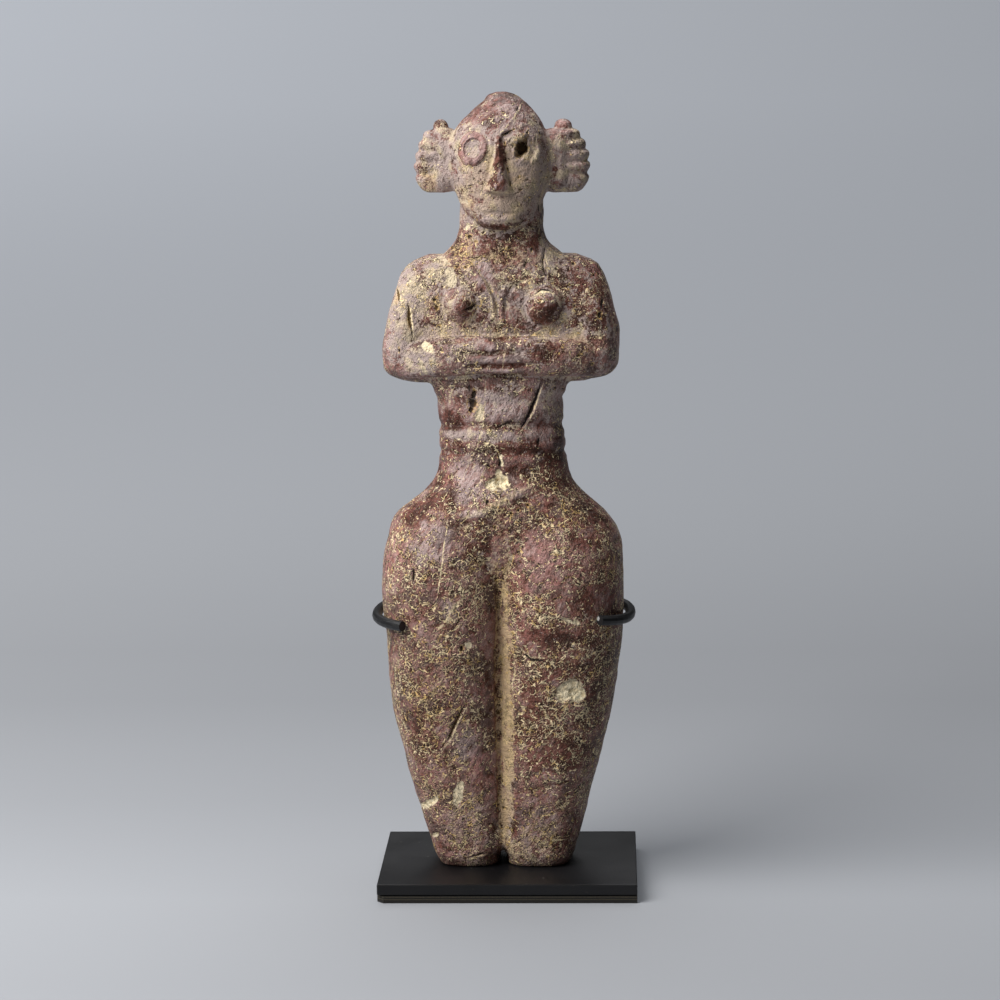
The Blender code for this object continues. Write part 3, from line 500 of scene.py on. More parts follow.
# Chips with a rough floor, each: x, height, half width, half height, lean in degrees, depth, whiteness
CHIPS = (
    (-1.2, 122.3, 3.6, 1.6, -6, 0.9, 1), (0.6, 122.6, 2.2, 2.1, 0, 0.7, 1),
    (-0.7, 125, 1.2, 1.6, 0, 0.5, 0.9), (20.2, 58.4, 4.6, 2.8, -34, 0.6, 0.75),
    (22.8, 57, 2.5, 2.2, -20, 0.5, 1), (-14.3, 24.6, 1.5, 4.3, 14, 0.25, 0.7),
    (-24.2, 20, 5, 1.1, -42, 0.5, 0.9), (-21.9, 10, 1.4, 0.6, -50, 0.4, 0.9),
    (-21.7, 163.9, 2.2, 1.5, 30, 0.3, 0.7), (-23.6, 158.6, 0.8, 3, -24, 0.2, 0.45),
    (-9.4, 199.9, 0.8, 1.4, 20, 0.4, 0.8), (-14.6, 184.4, 1.8, 3.2, -14, 0.3, 0.5),
    (-6.2, 143.4, 1.3, 2.9, 12, 0.4, 0.6), (0.3, 128.9, 0.5, 1.7, 0, 0.2, 0.8),
    (-10.3, 73.2, 1.6, 1, 20, 0.3, 0.7), (20.8, 80.6, 3.4, 0.6, 22, 0.2, 0.7),
    (-17, 189.6, 3, 0.8, 28, 0.3, 0.4), (-11, 207.6, 2.4, 0.9, 10, 0.2, 0.3),
    (13.4, 180.2, 2.4, 0.5, -6, 0.1, 0.6), (9.6, 222, 2.8, 2.4, 0, 0, 0.35),
    (-16, 193, 1.6, 1, -20, 0.3, 0.4),
)
# Gouges in the right silhouette, each: height, half height, depth
NOTCHES = ((102.4, 2.4, 1.7), (94.8, 1.3, 0.6), (45, 3, 0.25))

# How much the dusty film and the cream specks cover the stone, each: height, film, specks
COVER = (
    (0, 0.22, 0.50), (10, 0.22, 0.62), (30, 0.12, 0.66), (50, 0.06, 0.78), (80, 0.03, 0.82),
    (98, 0.02, 0.74), (112, 0.04, 0.62), (124, 0.10, 0.45), (140, 0.22, 0.32), (152, 0.34, 0.30),
    # The thin film at the neck leaves it darker, partly as painted shade under the chin
    (165, 0.42, 0.42), (180, 0.55, 0.46), (192, 0.47, 0.52), (199, 0.34, 0.34), (206, 0.74, 0.20),
    (224, 0.76, 0.14), (233, 0.34, 0.26), (240, 0.36, 0.30),
)
# Patches of colour, each: x, height, half width, half height, strength
PATCHES = {
    # Worn lavender places, and painted glints on the nose, the lower lip and the chin
    "worn_and_glints": (
        (-10, 123, 5.5, 9, 0.9), (-21, 104, 7, 8, 0.7), (-4.6, 187, 2.6, 5, 0.8), (-3, 179, 2, 5, 0.5),
        (0, 146, 11, 5, 1), (-6, 136.6, 14, 1.8, 0.9), (0, 118.8, 8, 1.6, 0.7), (-9, 113.4, 6, 1.4, 0.8),
        (-8, 164.2, 9, 1.1, 0.8), (-2, 160.3, 9, 0.8, 0.8), (-2, 157, 9, 0.7, 0.7), (-28, 180, 6, 8, 0.6),
        (-24, 160, 5, 4, 0.5), (-15, 84, 3, 4, 0.6), (4, 233, 5, 5, 0.8), (-12, 40, 5, 7, 0.6),
        (11, 13, 8, 10, 0.5), (-12, 14, 8, 12, 0.4), (14, 144, 6, 10, 0.45), (0, 160, 15, 5, 0.3),
        (11, 98, 9, 12, 0.15), (2, 233, 15, 6, 0.2), (-7, 229, 5, 2.5, 0.5), (0.9, 215.6, 1, 3.6, 1),
        (-0.4, 212.4, 1, 1.2, 0.8), (-3, 202.2, 4, 1.2, 1), (-7.4, 223.4, 4.2, 5, 0.5),
        (-2.8, 201.9, 2.4, 0.7, 1), (-5.6, 206, 1.6, 1, 0.8), (3, 207.2, 4, 1.4, 0.4),
        (20, 224, 4, 1.2, 0.7), (22, 219, 4, 1.2, 0.6), (-20, 222, 4, 3, 0.4), (30, 86.4, 4, 5, 0.3),
        (-9, 104, 4, 8, 0.3), (4, 186, 4, 3, 0.4),
    ),
    "rosy": (
        (11, 99, 9.5, 12, 0.95), (12, 90, 6, 5, 0.6), (-34, 100, 5, 12, 1), (-35, 166, 3.5, 12, 1),
        (-8.6, 34, 4, 6, 1), (10, 32, 8, 10, 0.6), (-10, 219.8, 1.6, 1.6, 1), (-11, 223.4, 1, 4, 1),
        (-7, 227.4, 4, 1.2, 0.8), (-4.4, 222.4, 1, 3.4, 0.6), (-9, 84, 4, 6, 0.8),
        (20.5, 229.5, 3.2, 1.8, 1), (-14, 8, 7, 6, 0.8), (-15, 125, 4, 6, 0.8), (30, 186, 4, 4, 0.7),
        (-23, 226, 3, 2, 0.7), (9, 165, 3, 2, 0.5), (-9, 231, 4, 2, 0.4), (8, 213, 5, 5, 0.3),
        (24, 97, 6, 7, 0.7), (-20, 90, 5, 6, 0.4), (6.5, 81, 2.6, 7, 0.7),
    ),
    # Maroon stone, and painted shade on the neck under the chin, right of the right breast and down the right
    # flank
    "maroon_and_shade": (
        (14, 76, 9, 3, 1), (18, 78, 12, 14, 0.3), (-15.5, 141, 5, 4, 0.9), (-15, 132, 5, 2.6, 0.9),
        (5, 132.6, 8, 2.4, 0.7), (13, 141, 4, 4, 0.6), (27, 178, 8.5, 16, 0.85), (31, 72, 8, 28, 0.8),
        (27, 110, 9, 9, 0.5), (-21.5, 220, 4, 7, 0.3), (4, 194.5, 12, 3.5, 0.7), (-2, 233, 6, 4, 0.5),
        (0.7, 219, 1.7, 8.6, 0.8), (0.3, 213, 3.4, 2.6, 0.8), (-1, 199.6, 7, 1.3, 0.6),
        (-17.2, 230.6, 2.4, 1.6, 0.9), (-20.8, 227.8, 1.6, 0.9, 0.9), (24.6, 227.4, 2, 1, 1),
        (24, 223.4, 4, 1.2, 0.9), (17.2, 217.6, 0.7, 5, 0.9), (-8, 203.6, 3.5, 2, 0.7), (6, 185, 5, 4, 0.7),
        (1, 189, 3, 3, 0.6), (14.2, 174.6, 4.4, 4.4, 0.75), (2.5, 168.5, 5, 3.6, 1),
        (13, 161.8, 6, 3.4, 0.9), (-11, 177, 3, 3, 0.7), (-8, 104, 4, 7, 0.9), (20, 66, 12, 6, 0.7),
        (15, 42, 11, 12, 0.8), (15, 8, 6, 4, 0.6), (-12.8, 186.3, 1.7, 1.6, 1), (0, 162.2, 9, 0.9, 1),
        (0, 158.5, 10, 0.9, 1), (0, 155.4, 10, 0.8, 0.9), (-18, 116, 7, 3, 0.8), (-26, 111, 6, 3, 0.8),
        (16, 124, 6, 6, 0.7), (-24, 44, 6, 12, 0.5), (-6, 192, 4, 2, 0.5), (20, 184, 6, 5, 0.4),
        (5.6, 90, 3, 8, 0.5), (11, 55, 5, 10, 0.7),
    ),
    "film": (
        (1.2, 46, 2, 54, 1), (-14, 20, 10, 16, 0.12), (9, 6, 9, 8, 0.3), (0.4, 102, 3.6, 9, 0.35),
        (-3, 62, 1.6, 58, 0.2), (-14, 168.2, 13, 1.6, 0.45), (20, 167.4, 12, 1.5, 0.8),
        (9.6, 222, 3.4, 3.4, 0.6), (13, 107, 8, 3, 0.2), (26, 72, 8, 14, 0.15), (1.2, 207.4, 4.4, 2, 0.4),
        (0, 203.4, 7, 3, 0.4), (15, 146, 5, 7, 0.3), (0.9, 203.7, 5.2, 0.5, 0.9), (-29, 173, 7, 15, 0.7),
        (-24, 160, 8, 5, 0.45), (9, 214, 6, 8, 0.8), (-7.45, 223.4, 2.6, 3.2, 0.7), (11, 230, 4, 5, 0.3),
        (0, 147, 12, 5, 0.35), (-4, 136.6, 15, 1.8, 0.4), (-19, 186, 5, 4, 0.4), (15.2, 192, 3, 8, 0.5),
        (-12.5, 107, 3, 3, 0.3),
    ),
    "ochre": (
        (0, 212, 15, 12, 0.4), (-12, 192, 6, 6, 1), (0, 191, 12, 4, 0.8), (-27.2, 172.5, 0.9, 5, 1),
        (7.4, 223.3, 2.6, 3.2, 0.5), (-15, 172, 12, 8, 0.2), (-31, 178.8, 1, 2.4, 1),
        (-22, 56, 10, 20, 0.7), (-6.9, 144, 1.6, 3.4, 1), (-29.5, 101.9, 2.6, 2.6, 0.8),
        (33, 96.3, 3, 4, 0.9), (24, 164, 8, 4, 0.6), (-1.6, 40, 2, 30, 0.8), (-9.4, 206.9, 3, 2, 0.7),
        (6.6, 214.3, 2.6, 1.6, 0.8), (-21, 213, 3.5, 3.5, 0.8), (-20, 175.4, 2, 2.6, 0.8),
        (-12.5, 106, 3, 6, 0.6), (17, 113, 8, 4, 0.6), (-15, 24, 12, 20, 0.7), (9, 16, 10, 14, 0.8),
        (0.4, 58, 4, 60, 1), (-22, 82, 10, 8, 0.5),
    ),
    "clear": (
        (-7.45, 223.4, 4.4, 5.2, 0.6), (0.7, 218.6, 1.9, 9, 1), (0.3, 213, 3.5, 2.6, 1),
        (-2, 200.6, 6, 2.2, 0.5), (3, 234, 5, 5, 0.8), (-2, 160, 11, 5.6, 0.7), (0, 146, 10, 5, 0.85),
        (-10, 123, 6, 9, 0.8), (-20, 105, 6, 7, 0.7), (-9, 33, 5, 9, 0.6), (11, 97, 8, 8, 0.6),
        (14.4, 174.8, 4, 4, 0.3), (14, 76, 9, 2, 0.8), (30, 86, 5, 6, 0.8), (-5, 185, 3, 5, 0.6),
        (1, 58, 1.8, 60, 0.4), (-3.2, 58, 2.4, 56, 0.6),
    ),
}

# Unevenness laid over shapes and marks, each: strength, size of the lumps, seed
FACE_ROUGHNESS = ((1, 1.1, 5), (0.5, 0.6, 6))
MARK_ROUGHNESS = ((0.5, 1.3, 7), (0.5, 0.7, 8))
SURFACE_LUMPS = ((0.28, 13, 1), (0.2, 6, 2), (0.12, 2.8, 3), (0.07, 1.2, 4))
PATCH_EDGE = ((0.35, 3, 12), (0.2, 1.2, 13))
# The rim of the left eye in shares of its outline, and how deep its basin is
EYE_RIM_RISE = 0.5
EYE_BASIN = (0.66, 1.1)
EYE_RIM_INSIDE = (0.54, 0.68)
EYE_RIM_OUTSIDE = (1.04, 0.96)
# A line cut round the eye and a lip round the socket, each: height, share of the outline, half width
EYE_LINE = (0.45, 1.1, 0.12)
SOCKET_LIP = (0.3, 1.1, 0.22)
SOCKET_DEPTH = 1.1
HOLE_DEPTH = 3.2
NOSE_BRIDGE = (0.4, 218, 2.8, 9)
# How much wider than their lines the strokes, cracks and pits spread
STROKE_SPREAD = 1.3
CRACK_SPREAD = 2
PIT_SPREAD = 1.5
# Where the waist grooves fade out sideways and the gouges set in, and the gouges' middle and reach in depth
WAIST_EDGE = (27, 23)
GOUGE_EDGE = (30, 33)
GOUGE_Y = -7
GOUGE_REACH = 6
# Behind: the spine and the parting, each: path, half width, depth
BACK_STROKES = ((((0.4, 188), (0.2, 132)), 2.4, 1.1), (((0, 112), (-0.6, 88)), 3, 1.9))

# Where creases are softened, each: x, height, half width, half height
BELLY_FOLD = (-0.5, 109, 24, 11)
ARM_FOLD = (23.5, 177, 3.4, 11)
EAR_FOLD = (14.8, 218, 2.6, 10)
# Rounds of averaging, for the creases and for finding small and broad hollows
FOLD_ROUNDS = 90
FINE_ROUNDS = 6
BROAD_ROUNDS = 40
# The depths, in units, that the hollow and valley marks run over
HOLLOW_RANGE = 0.16
VALLEY_RANGE = 0.9
WEIGHT_LEVELS = 10
# The mark for places far from any line or pit, and where a line's mark fades
FAR = 9.0
LINE_REACH = (2.4, 1.4)
# A stroke's thinnest share, squared
THINNEST = 0.06
# What a place keeps of itself when it is averaged with its neighbours
OWN_SHARE = 0.3
# The normals and the depth between which a place counts as front or as back
FRONT_EDGE = (0.02, 0.35)
FRONT_LIMIT = 2
BACK_EDGE = (0.2, 0.6)
# In front of this depth the folds are soft and the face is finely meshed
NEAR_Y = -4
# The face's sides and lower edge, and how fine it stays beside cracks and pits
FACE_SIDES = (18, 15)
FACE_BOTTOM = (197, 199)
FACE_DETAIL = 0.8
DETAIL_REACH = (1.2, 0.4)
# How places on the front are moved about, sideways and in height
PLAN_SHAKE = (((0.32, 2.6, 31), (0.16, 0.9, 33)), ((0.32, 2.6, 32), (0.16, 0.9, 34)))

HASH_STEPS = (73856093, 19349663, 83492791, 2654435)
HASH_MIX = 1274126177
HASH_SHIFTS = (13, 16)
HASH_RANGE = 65535


def lumps(points, size, seed):
    """Smooth noise from -1 to 1 whose lumps are about one size across."""
    cells = points / size
    base = np.floor(cells).astype(np.int64)
    share = cells - base
    share = share * share * (3 - 2 * share)
    total = np.zeros(len(points))
    for corner in itertools.product((0, 1), repeat=3):
        at = base + np.array(corner)
        hashed = seed * HASH_STEPS[3] + np.zeros(len(points), dtype=np.int64)
        for axis in range(3):
            hashed = hashed ^ (at[:, axis] * HASH_STEPS[axis])
        hashed = (hashed ^ (hashed >> HASH_SHIFTS[0])) * HASH_MIX
        value = ((hashed ^ (hashed >> HASH_SHIFTS[1])) & HASH_RANGE) / (HASH_RANGE / 2) - 1
        total += value * np.prod(np.where(corner, share, 1 - share), axis=1)
    return total


def layered(points, layers):
    return sum(strength * lumps(points, size, seed) for strength, size, seed in layers)


def read_mesh(mesh):
    """The mesh's points and normals as arrays."""
    count = len(mesh.vertices)
    points = np.empty(count * 3, dtype=np.float32)
    normals = np.empty(count * 3, dtype=np.float32)
    mesh.vertices.foreach_get("co", points)
    mesh.vertices.foreach_get("normal", normals)
    return points.reshape(-1, 3).astype(float), normals.reshape(-1, 3).astype(float)


def write_points(mesh, points):
    mesh.vertices.foreach_set("co", points.astype(np.float32).ravel())
    mesh.update()


def to_path(plan, path):
    """How far each point in the plane lies from a path, positive to its left, and its share along it."""
    best = np.full(len(plan), np.inf)
    signed = np.zeros(len(plan))
    along = np.zeros(len(plan))
    path = np.array(path, dtype=float)
    lengths = np.linalg.norm(np.diff(path, axis=0), axis=1)
    done = 0.0
    for start, end, length in zip(path, path[1:], lengths):
        run = end - start
        offset = plan - start
        share = np.clip(offset @ run / (run @ run), 0, 1)
        gap = np.linalg.norm(offset - share[:, None] * run, axis=1)
        side = np.where(run[0] * offset[:, 1] - run[1] * offset[:, 0] > 0, 1.0, -1.0)
        closer = gap < best
        best = np.where(closer, gap, best)
        signed = np.where(closer, gap * side, signed)
        along = np.where(closer, (done + share * length) / lengths.sum(), along)
        done += length
    return signed, along


def tapered(along):
    """A stroke's share of its full width: thin at both ends."""
    return np.sqrt(np.clip(4 * along * (1 - along), THINNEST, 1))


def shaken_plan(points):
    """Places on the front, x and height, moved about a little so that marks come out ragged."""
    plan = points[:, (0, 2)].copy()
    for axis, layers in enumerate(PLAN_SHAKE):
        plan[:, axis] += layered(points, layers)
    return plan


def dent(distance, width):
    """1 on a stroke's line, falling smoothly to 0 at its width."""
    return clamp01(1 - (distance / width) ** 2) ** 2


def in_oval(plan, x, z, half_width, half_height, lean=0.0):
    """Distance from an oval's middle in shares of its radii, the oval leaning clockwise by some degrees."""
    turn = math.radians(lean)
    dx, dz = plan[:, 0] - x, plan[:, 1] - z
    across = dx * math.cos(turn) - dz * math.sin(turn)
    up = dx * math.sin(turn) + dz * math.cos(turn)
    return np.hypot(across / half_width, up / half_height)


def facing_front(points, normals):
    return ease(*FRONT_EDGE, -normals[:, 1]) * (points[:, 1] < FRONT_LIMIT)


def sculpt_face(points, normals):
    """Eyes and broken brow, as pushes towards the viewer, in units."""
    plan = points[:, (0, 2)]
    ragged = layered(points, FACE_ROUGHNESS)
    ring = in_oval(plan, *LEFT_EYE, *LEFT_EYE_RADII, LEFT_EYE_LEAN)
    push = EYE_RIM_RISE * ease(*EYE_RIM_OUTSIDE, ring) * ease(*EYE_RIM_INSIDE, ring)
    push -= EYE_BASIN[1] * clamp01(1 - (ring / EYE_BASIN[0]) ** 2)
    push -= EYE_LINE[0] * dent(ring - EYE_LINE[1], EYE_LINE[2])
    socket = in_oval(plan, *SOCKET, *SOCKET_RADII) + 0.3 * ragged
    push -= (SOCKET_DEPTH + 0.4 * ragged) * ease(1.0, 0.75, socket)
    push += SOCKET_LIP[0] * dent(socket - SOCKET_LIP[1], SOCKET_LIP[2])
    push -= HOLE_DEPTH * ease(1.0, 0.55, in_oval(plan, *HOLE, *HOLE_RADII) + 0.25 * ragged)
    for *place, depth in FACE_BREAKS:
        push -= depth * ease(1.0, 0.45, in_oval(plan, *place) + 0.25 * ragged)
    push += 0.2 * ragged * ease(1.0, 0.7, in_oval(plan, *NOSE_BRIDGE))
    return push * facing_front(points, normals)


def stroke_pushes(plan, strokes, widening):
    """How deep a set of strokes goes at each point, tapered towards their ends."""
    push = np.zeros(len(plan))
    for half_width, depth, path in strokes:
        signed, along = to_path(plan, path)
        thin = tapered(along)
        push = np.maximum(push, depth * thin * dent(signed, half_width * widening * thin))
    return push


def sculpt_marks(points, normals):
    """Grooves, ridges, cracks, pits, chips and wear, as pushes along the normals, in units."""
    plan = points[:, (0, 2)]
    ragged_plan = shaken_plan(points)
    push = stroke_pushes(ragged_plan, RIDGES, STROKE_SPREAD)
    push -= stroke_pushes(0.5 * plan + 0.5 * ragged_plan, GROOVES, STROKE_SPREAD)
    push -= stroke_pushes(ragged_plan, CRACKS, CRACK_SPREAD)
    rough = layered(points, MARK_ROUGHNESS)
    for *place, depth in PITS:
        push -= depth * dent(in_oval(ragged_plan, *place) + 0.3 * rough, PIT_SPREAD)
    for *place, depth, _ in CHIPS:
        inside = ease(1.12, 0.85, in_oval(ragged_plan, *place) + 0.2 * rough)
        push += inside * (0.35 * rough - depth)
    push *= facing_front(points, normals)
    near_waist = ease(*WAIST_EDGE, np.abs(points[:, 0])) * (0.8 + 0.3 * lumps(points, 7, 10))
    wander = 0.5 * lumps(points, 9, 9)
    for height, climb, half_width, depth in WAIST_GROOVES:
        level = points[:, 2] + climb * points[:, 1] + wander
        push -= depth * near_waist * dent(level - height, half_width)
    right = ease(*GOUGE_EDGE, points[:, 0]) * dent(points[:, 1] - GOUGE_Y, GOUGE_REACH)
    for height, half_height, depth in NOTCHES:
        push -= right * depth * dent(points[:, 2] - height, half_height)
    return push + layered(points, SURFACE_LUMPS)


def sculpt_back(points, normals):
    """A shallow spine line and the parting of the buttocks, in units."""
    push = 0
    for path, half_width, depth in BACK_STROKES:
        push -= depth * dent(to_path(points[:, (0, 2)], path)[0], half_width)
    return push * ease(*BACK_EDGE, normals[:, 1]) * (points[:, 1] > 0)


def figure_y():
    """The figure stands in front of the post, with the rod's clearance behind its thighs."""
    row = along_curve(LEGS, 1.0)
    row = row[np.argmin(np.abs(row[:, 0] - PRONG_HEIGHT))]
    middle = (row[3] + row[4]) / 2
    half_depth = (row[4] - row[3]) / 2
    return POST_Y - ROD_RADIUS - PRONG_GAP - (middle + half_depth) * UNIT


def detail_weight(points, normals):
    """Where the mesh keeps its full fineness, 0 to 1."""
    plan = points[:, (0, 2)]
    near = np.full(len(points), 99.0)
    for half_width, _, path in CRACKS:
        near = np.minimum(near, np.abs(to_path(plan, path)[0]) - half_width)
    for *place, _ in PITS:
        near = np.minimum(near, (in_oval(plan, *place) - 1) * place[2])
    face = ease(*FACE_SIDES, np.abs(points[:, 0])) * ease(*FACE_BOTTOM, points[:, 2])
    face *= points[:, 1] < NEAR_Y
    return np.maximum(ease(*DETAIL_REACH, near), FACE_DETAIL * face) * facing_front(points, normals)


def read_edges(mesh):
    edges = np.empty(len(mesh.edges) * 2, dtype=np.int32)
    mesh.edges.foreach_get("vertices", edges)
    return edges.reshape(-1, 2)


def averaged(values, edges, times):
    """Values smoothed over the mesh by averaging neighbours."""
    count = len(values)
    joined = np.bincount(edges.ravel(), minlength=count).astype(float)
    for _ in range(times):
        total = np.zeros_like(values)
        for column in range(values.shape[1]):
            total[:, column] = np.bincount(edges[:, 0], weights=values[edges[:, 1], column], minlength=count)
            total[:, column] += np.bincount(edges[:, 1], weights=values[edges[:, 0], column], minlength=count)
        values = OWN_SHARE * values + (1 - OWN_SHARE) * total / joined[:, None]
    return values


def line_fields(plan, front, lines):
    """Signed distance to the nearest line in shares of its half width, and its strength near it."""
    best = np.full(len(plan), np.inf)
    field = np.full(len(plan), FAR)
    power = np.zeros(len(plan))
    for half_width, strength, path in lines:
        signed, along = to_path(plan, path)
        thin = tapered(along)
        closer = np.abs(signed) < best
        best = np.where(closer, np.abs(signed), best)
        field = np.where(closer, np.clip(signed / (half_width * thin), -FAR, FAR), field)
        power = np.where(closer, strength, power)
    return field, power * ease(*LINE_REACH, best) * front


def put_attribute(mesh, name, values):
    attribute = mesh.attributes.new(name, "FLOAT", "POINT")
    attribute.data.foreach_set("value", values.astype(np.float32))


def mark_mesh(mesh):
    """Writes on the finished mesh where each kind of surface lies."""
    points, normals = read_mesh(mesh)
    edges = read_edges(mesh)
    plan = shaken_plan(points)
    front = facing_front(points, normals)
    fine = averaged(points, edges, FINE_ROUNDS)
    broad = averaged(fine, edges, BROAD_ROUNDS)
    hollow = np.sum((fine - points) * normals, axis=1)
    hollow_broad = np.sum((broad - fine) * normals, axis=1)
    put_attribute(mesh, "hollow", clamp01(0.5 + hollow / HOLLOW_RANGE))
    put_attribute(mesh, "valley", clamp01(0.5 + hollow_broad / VALLEY_RANGE))
    cover = np.array(COVER)
    wander = 6 * lumps(points, 14, 11)
    film = np.interp(points[:, 2] + wander, cover[:, 0], cover[:, 1])
    specks = np.interp(points[:, 2] + wander, cover[:, 0], cover[:, 2])
    edge_noise = layered(points, PATCH_EDGE)
    fields = {}
    for kind, patches in PATCHES.items():
        field = np.zeros(len(points))
        for *place, strength in patches:
            inside = in_oval(plan, *place) + edge_noise
            field = np.maximum(field, strength * ease(1.15, 0.55, inside))
        fields[kind] = field * front
    drift = lumps(points, 17, 21)
    behind = {
        "worn_and_glints": 0.6 * ease(0.2, 0.7, lumps(points, 12, 22)),
        "rosy": 0.7 * ease(0.3, 0.8, drift),
        "maroon_and_shade": 0.7 * ease(-0.3, -0.8, drift),
    }
    for kind, field in behind.items():
        fields[kind] = np.maximum(fields[kind], (1 - front) * field)
    ring = in_oval(points[:, (0, 2)], *LEFT_EYE, *LEFT_EYE_RADII, LEFT_EYE_LEAN)
    rim = ease(0.56, 0.7, ring) * ease(1.12, 0.98, ring) * front
    fields["rosy"] = np.maximum(fields["rosy"], 0.75 * rim)
    for kind in ("worn_and_glints", "rosy", "maroon_and_shade", "ochre"):
        put_attribute(mesh, kind, fields[kind])
    film *= (1 - fields["clear"]) * (1 - 0.45 * fields["maroon_and_shade"])
    put_attribute(mesh, "film", clamp01((film + fields["film"]) * (1 - 0.75 * rim)))
    put_attribute(mesh, "specks", specks * (1 - 0.95 * fields["clear"]))
    chips = np.zeros(len(points))
    for *place, _, tone in CHIPS:
        inside = in_oval(plan, *place) + 0.6 * edge_noise
        chips = np.maximum(chips, tone * ease(1.12, 0.85, inside))
    put_attribute(mesh, "chip", chips * front)
    # The pits, the eye hole and the shaded breaks, measured for their ochre rims and for the painted shade
    # inside them
    ragged = 0.3 * lumps(points, 0.9, 14)
    pits = in_oval(plan, *HOLE, *HOLE_RADII) * 1.15 + 1.3 * ragged
    for place in [pit[:-1] for pit in PITS] + list(SHADED_BREAKS):
        pits = np.minimum(pits, in_oval(plan, *place) + ragged)
    put_attribute(mesh, "pit", np.where(front > 0.1, pits, FAR))
    cracks = [(half_width, 1, path) for half_width, _, path in CRACKS]
    for kind, lines in (("crack", cracks), ("vein", VEINS)):
        field, near = line_fields(plan, front, lines)
        put_attribute(mesh, kind, field)
        put_attribute(mesh, kind + "_near", near)


def soften_folds(body):
    """The belly flows into the thighs, and the chest into the arms, without a crease."""
    points = read_mesh(body.data)[0]
    edges = read_edges(body.data)
    plan = points[:, (0, 2)]
    folds = ease(1.15, 0.6, in_oval(plan, *BELLY_FOLD))
    for side in (-1, 1):
        arm = ease(1.3, 0.5, in_oval(plan, side * ARM_FOLD[0], *ARM_FOLD[1:])) * (points[:, 1] < NEAR_Y)
        ear = 0.7 * ease(1.3, 0.5, in_oval(plan, side * EAR_FOLD[0], *EAR_FOLD[1:]))
        folds = np.maximum(folds, np.maximum(arm, ear))
    softer = averaged(points, edges, FOLD_ROUNDS)
    write_points(body.data, points + folds[:, None] * (softer - points))


def build_idol():
    body = build_form()
    soften_folds(body)
    for carve in (sculpt_face, sculpt_marks, sculpt_back):
        points, normals = read_mesh(body.data)
        push = carve(points, normals)
        if carve is sculpt_face:
            points[:, 1] -= push
        else:
            points += normals * push[:, None]
        write_points(body.data, points)
    points, normals = read_mesh(body.data)
    # The soles pressed flat on the plate's level
    points[:, 2] = np.maximum(points[:, 2], 0)
    write_points(body.data, points)
    group = body.vertex_groups.new(name="coarse")
    weights = 1 - detail_weight(points, normals)
    for level in range(1, WEIGHT_LEVELS + 1):
        chosen = np.nonzero(np.round(weights * WEIGHT_LEVELS).astype(int) == level)[0]
        group.add(chosen.tolist(), level / WEIGHT_LEVELS, "REPLACE")
    fewer = body.modifiers.new("Fewer faces", "DECIMATE")
    fewer.ratio = IDOL_TRIANGLES / (2 * len(body.data.polygons))
    fewer.vertex_group = "coarse"
    fewer.vertex_group_factor = 1.0
    apply_modifiers(body)
    mark_mesh(body.data)
    body.data.transform(Matrix.Translation((0, figure_y(), FEET_Z)) @ Matrix.Scale(UNIT, 4))
    keep_in_box(body.data, *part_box("idol"))
    body.data.shade_smooth()
    return body


def keep_in_box(mesh, low, high):
    write_points(mesh, np.clip(read_mesh(mesh)[0], np.array(low), np.array(high)))


def colour(red, green, blue):
    """A colour given as the eye reads it, 0 to 255, as the shader wants it."""
    linear = []
    for part in (red, green, blue):
        part /= 255
        linear.append(part / 12.92 if part <= 0.04045 else ((part + 0.055) / 1.055) ** 2.4)
    return (*linear, 1)


class Value:
    """A number or colour that a material works out, to be written in sums and products."""

    def __init__(self, paint, socket):
        self.paint = paint
        self.socket = socket

    def __add__(self, other):
        return self.paint.math("ADD", self, other)

    def __sub__(self, other):
        return self.paint.math("SUBTRACT", self, other)

    def __rsub__(self, other):
        return self.paint.math("SUBTRACT", other, self)

    def __mul__(self, other):
        return self.paint.math("MULTIPLY", self, other)

    __radd__ = __add__
    __rmul__ = __mul__


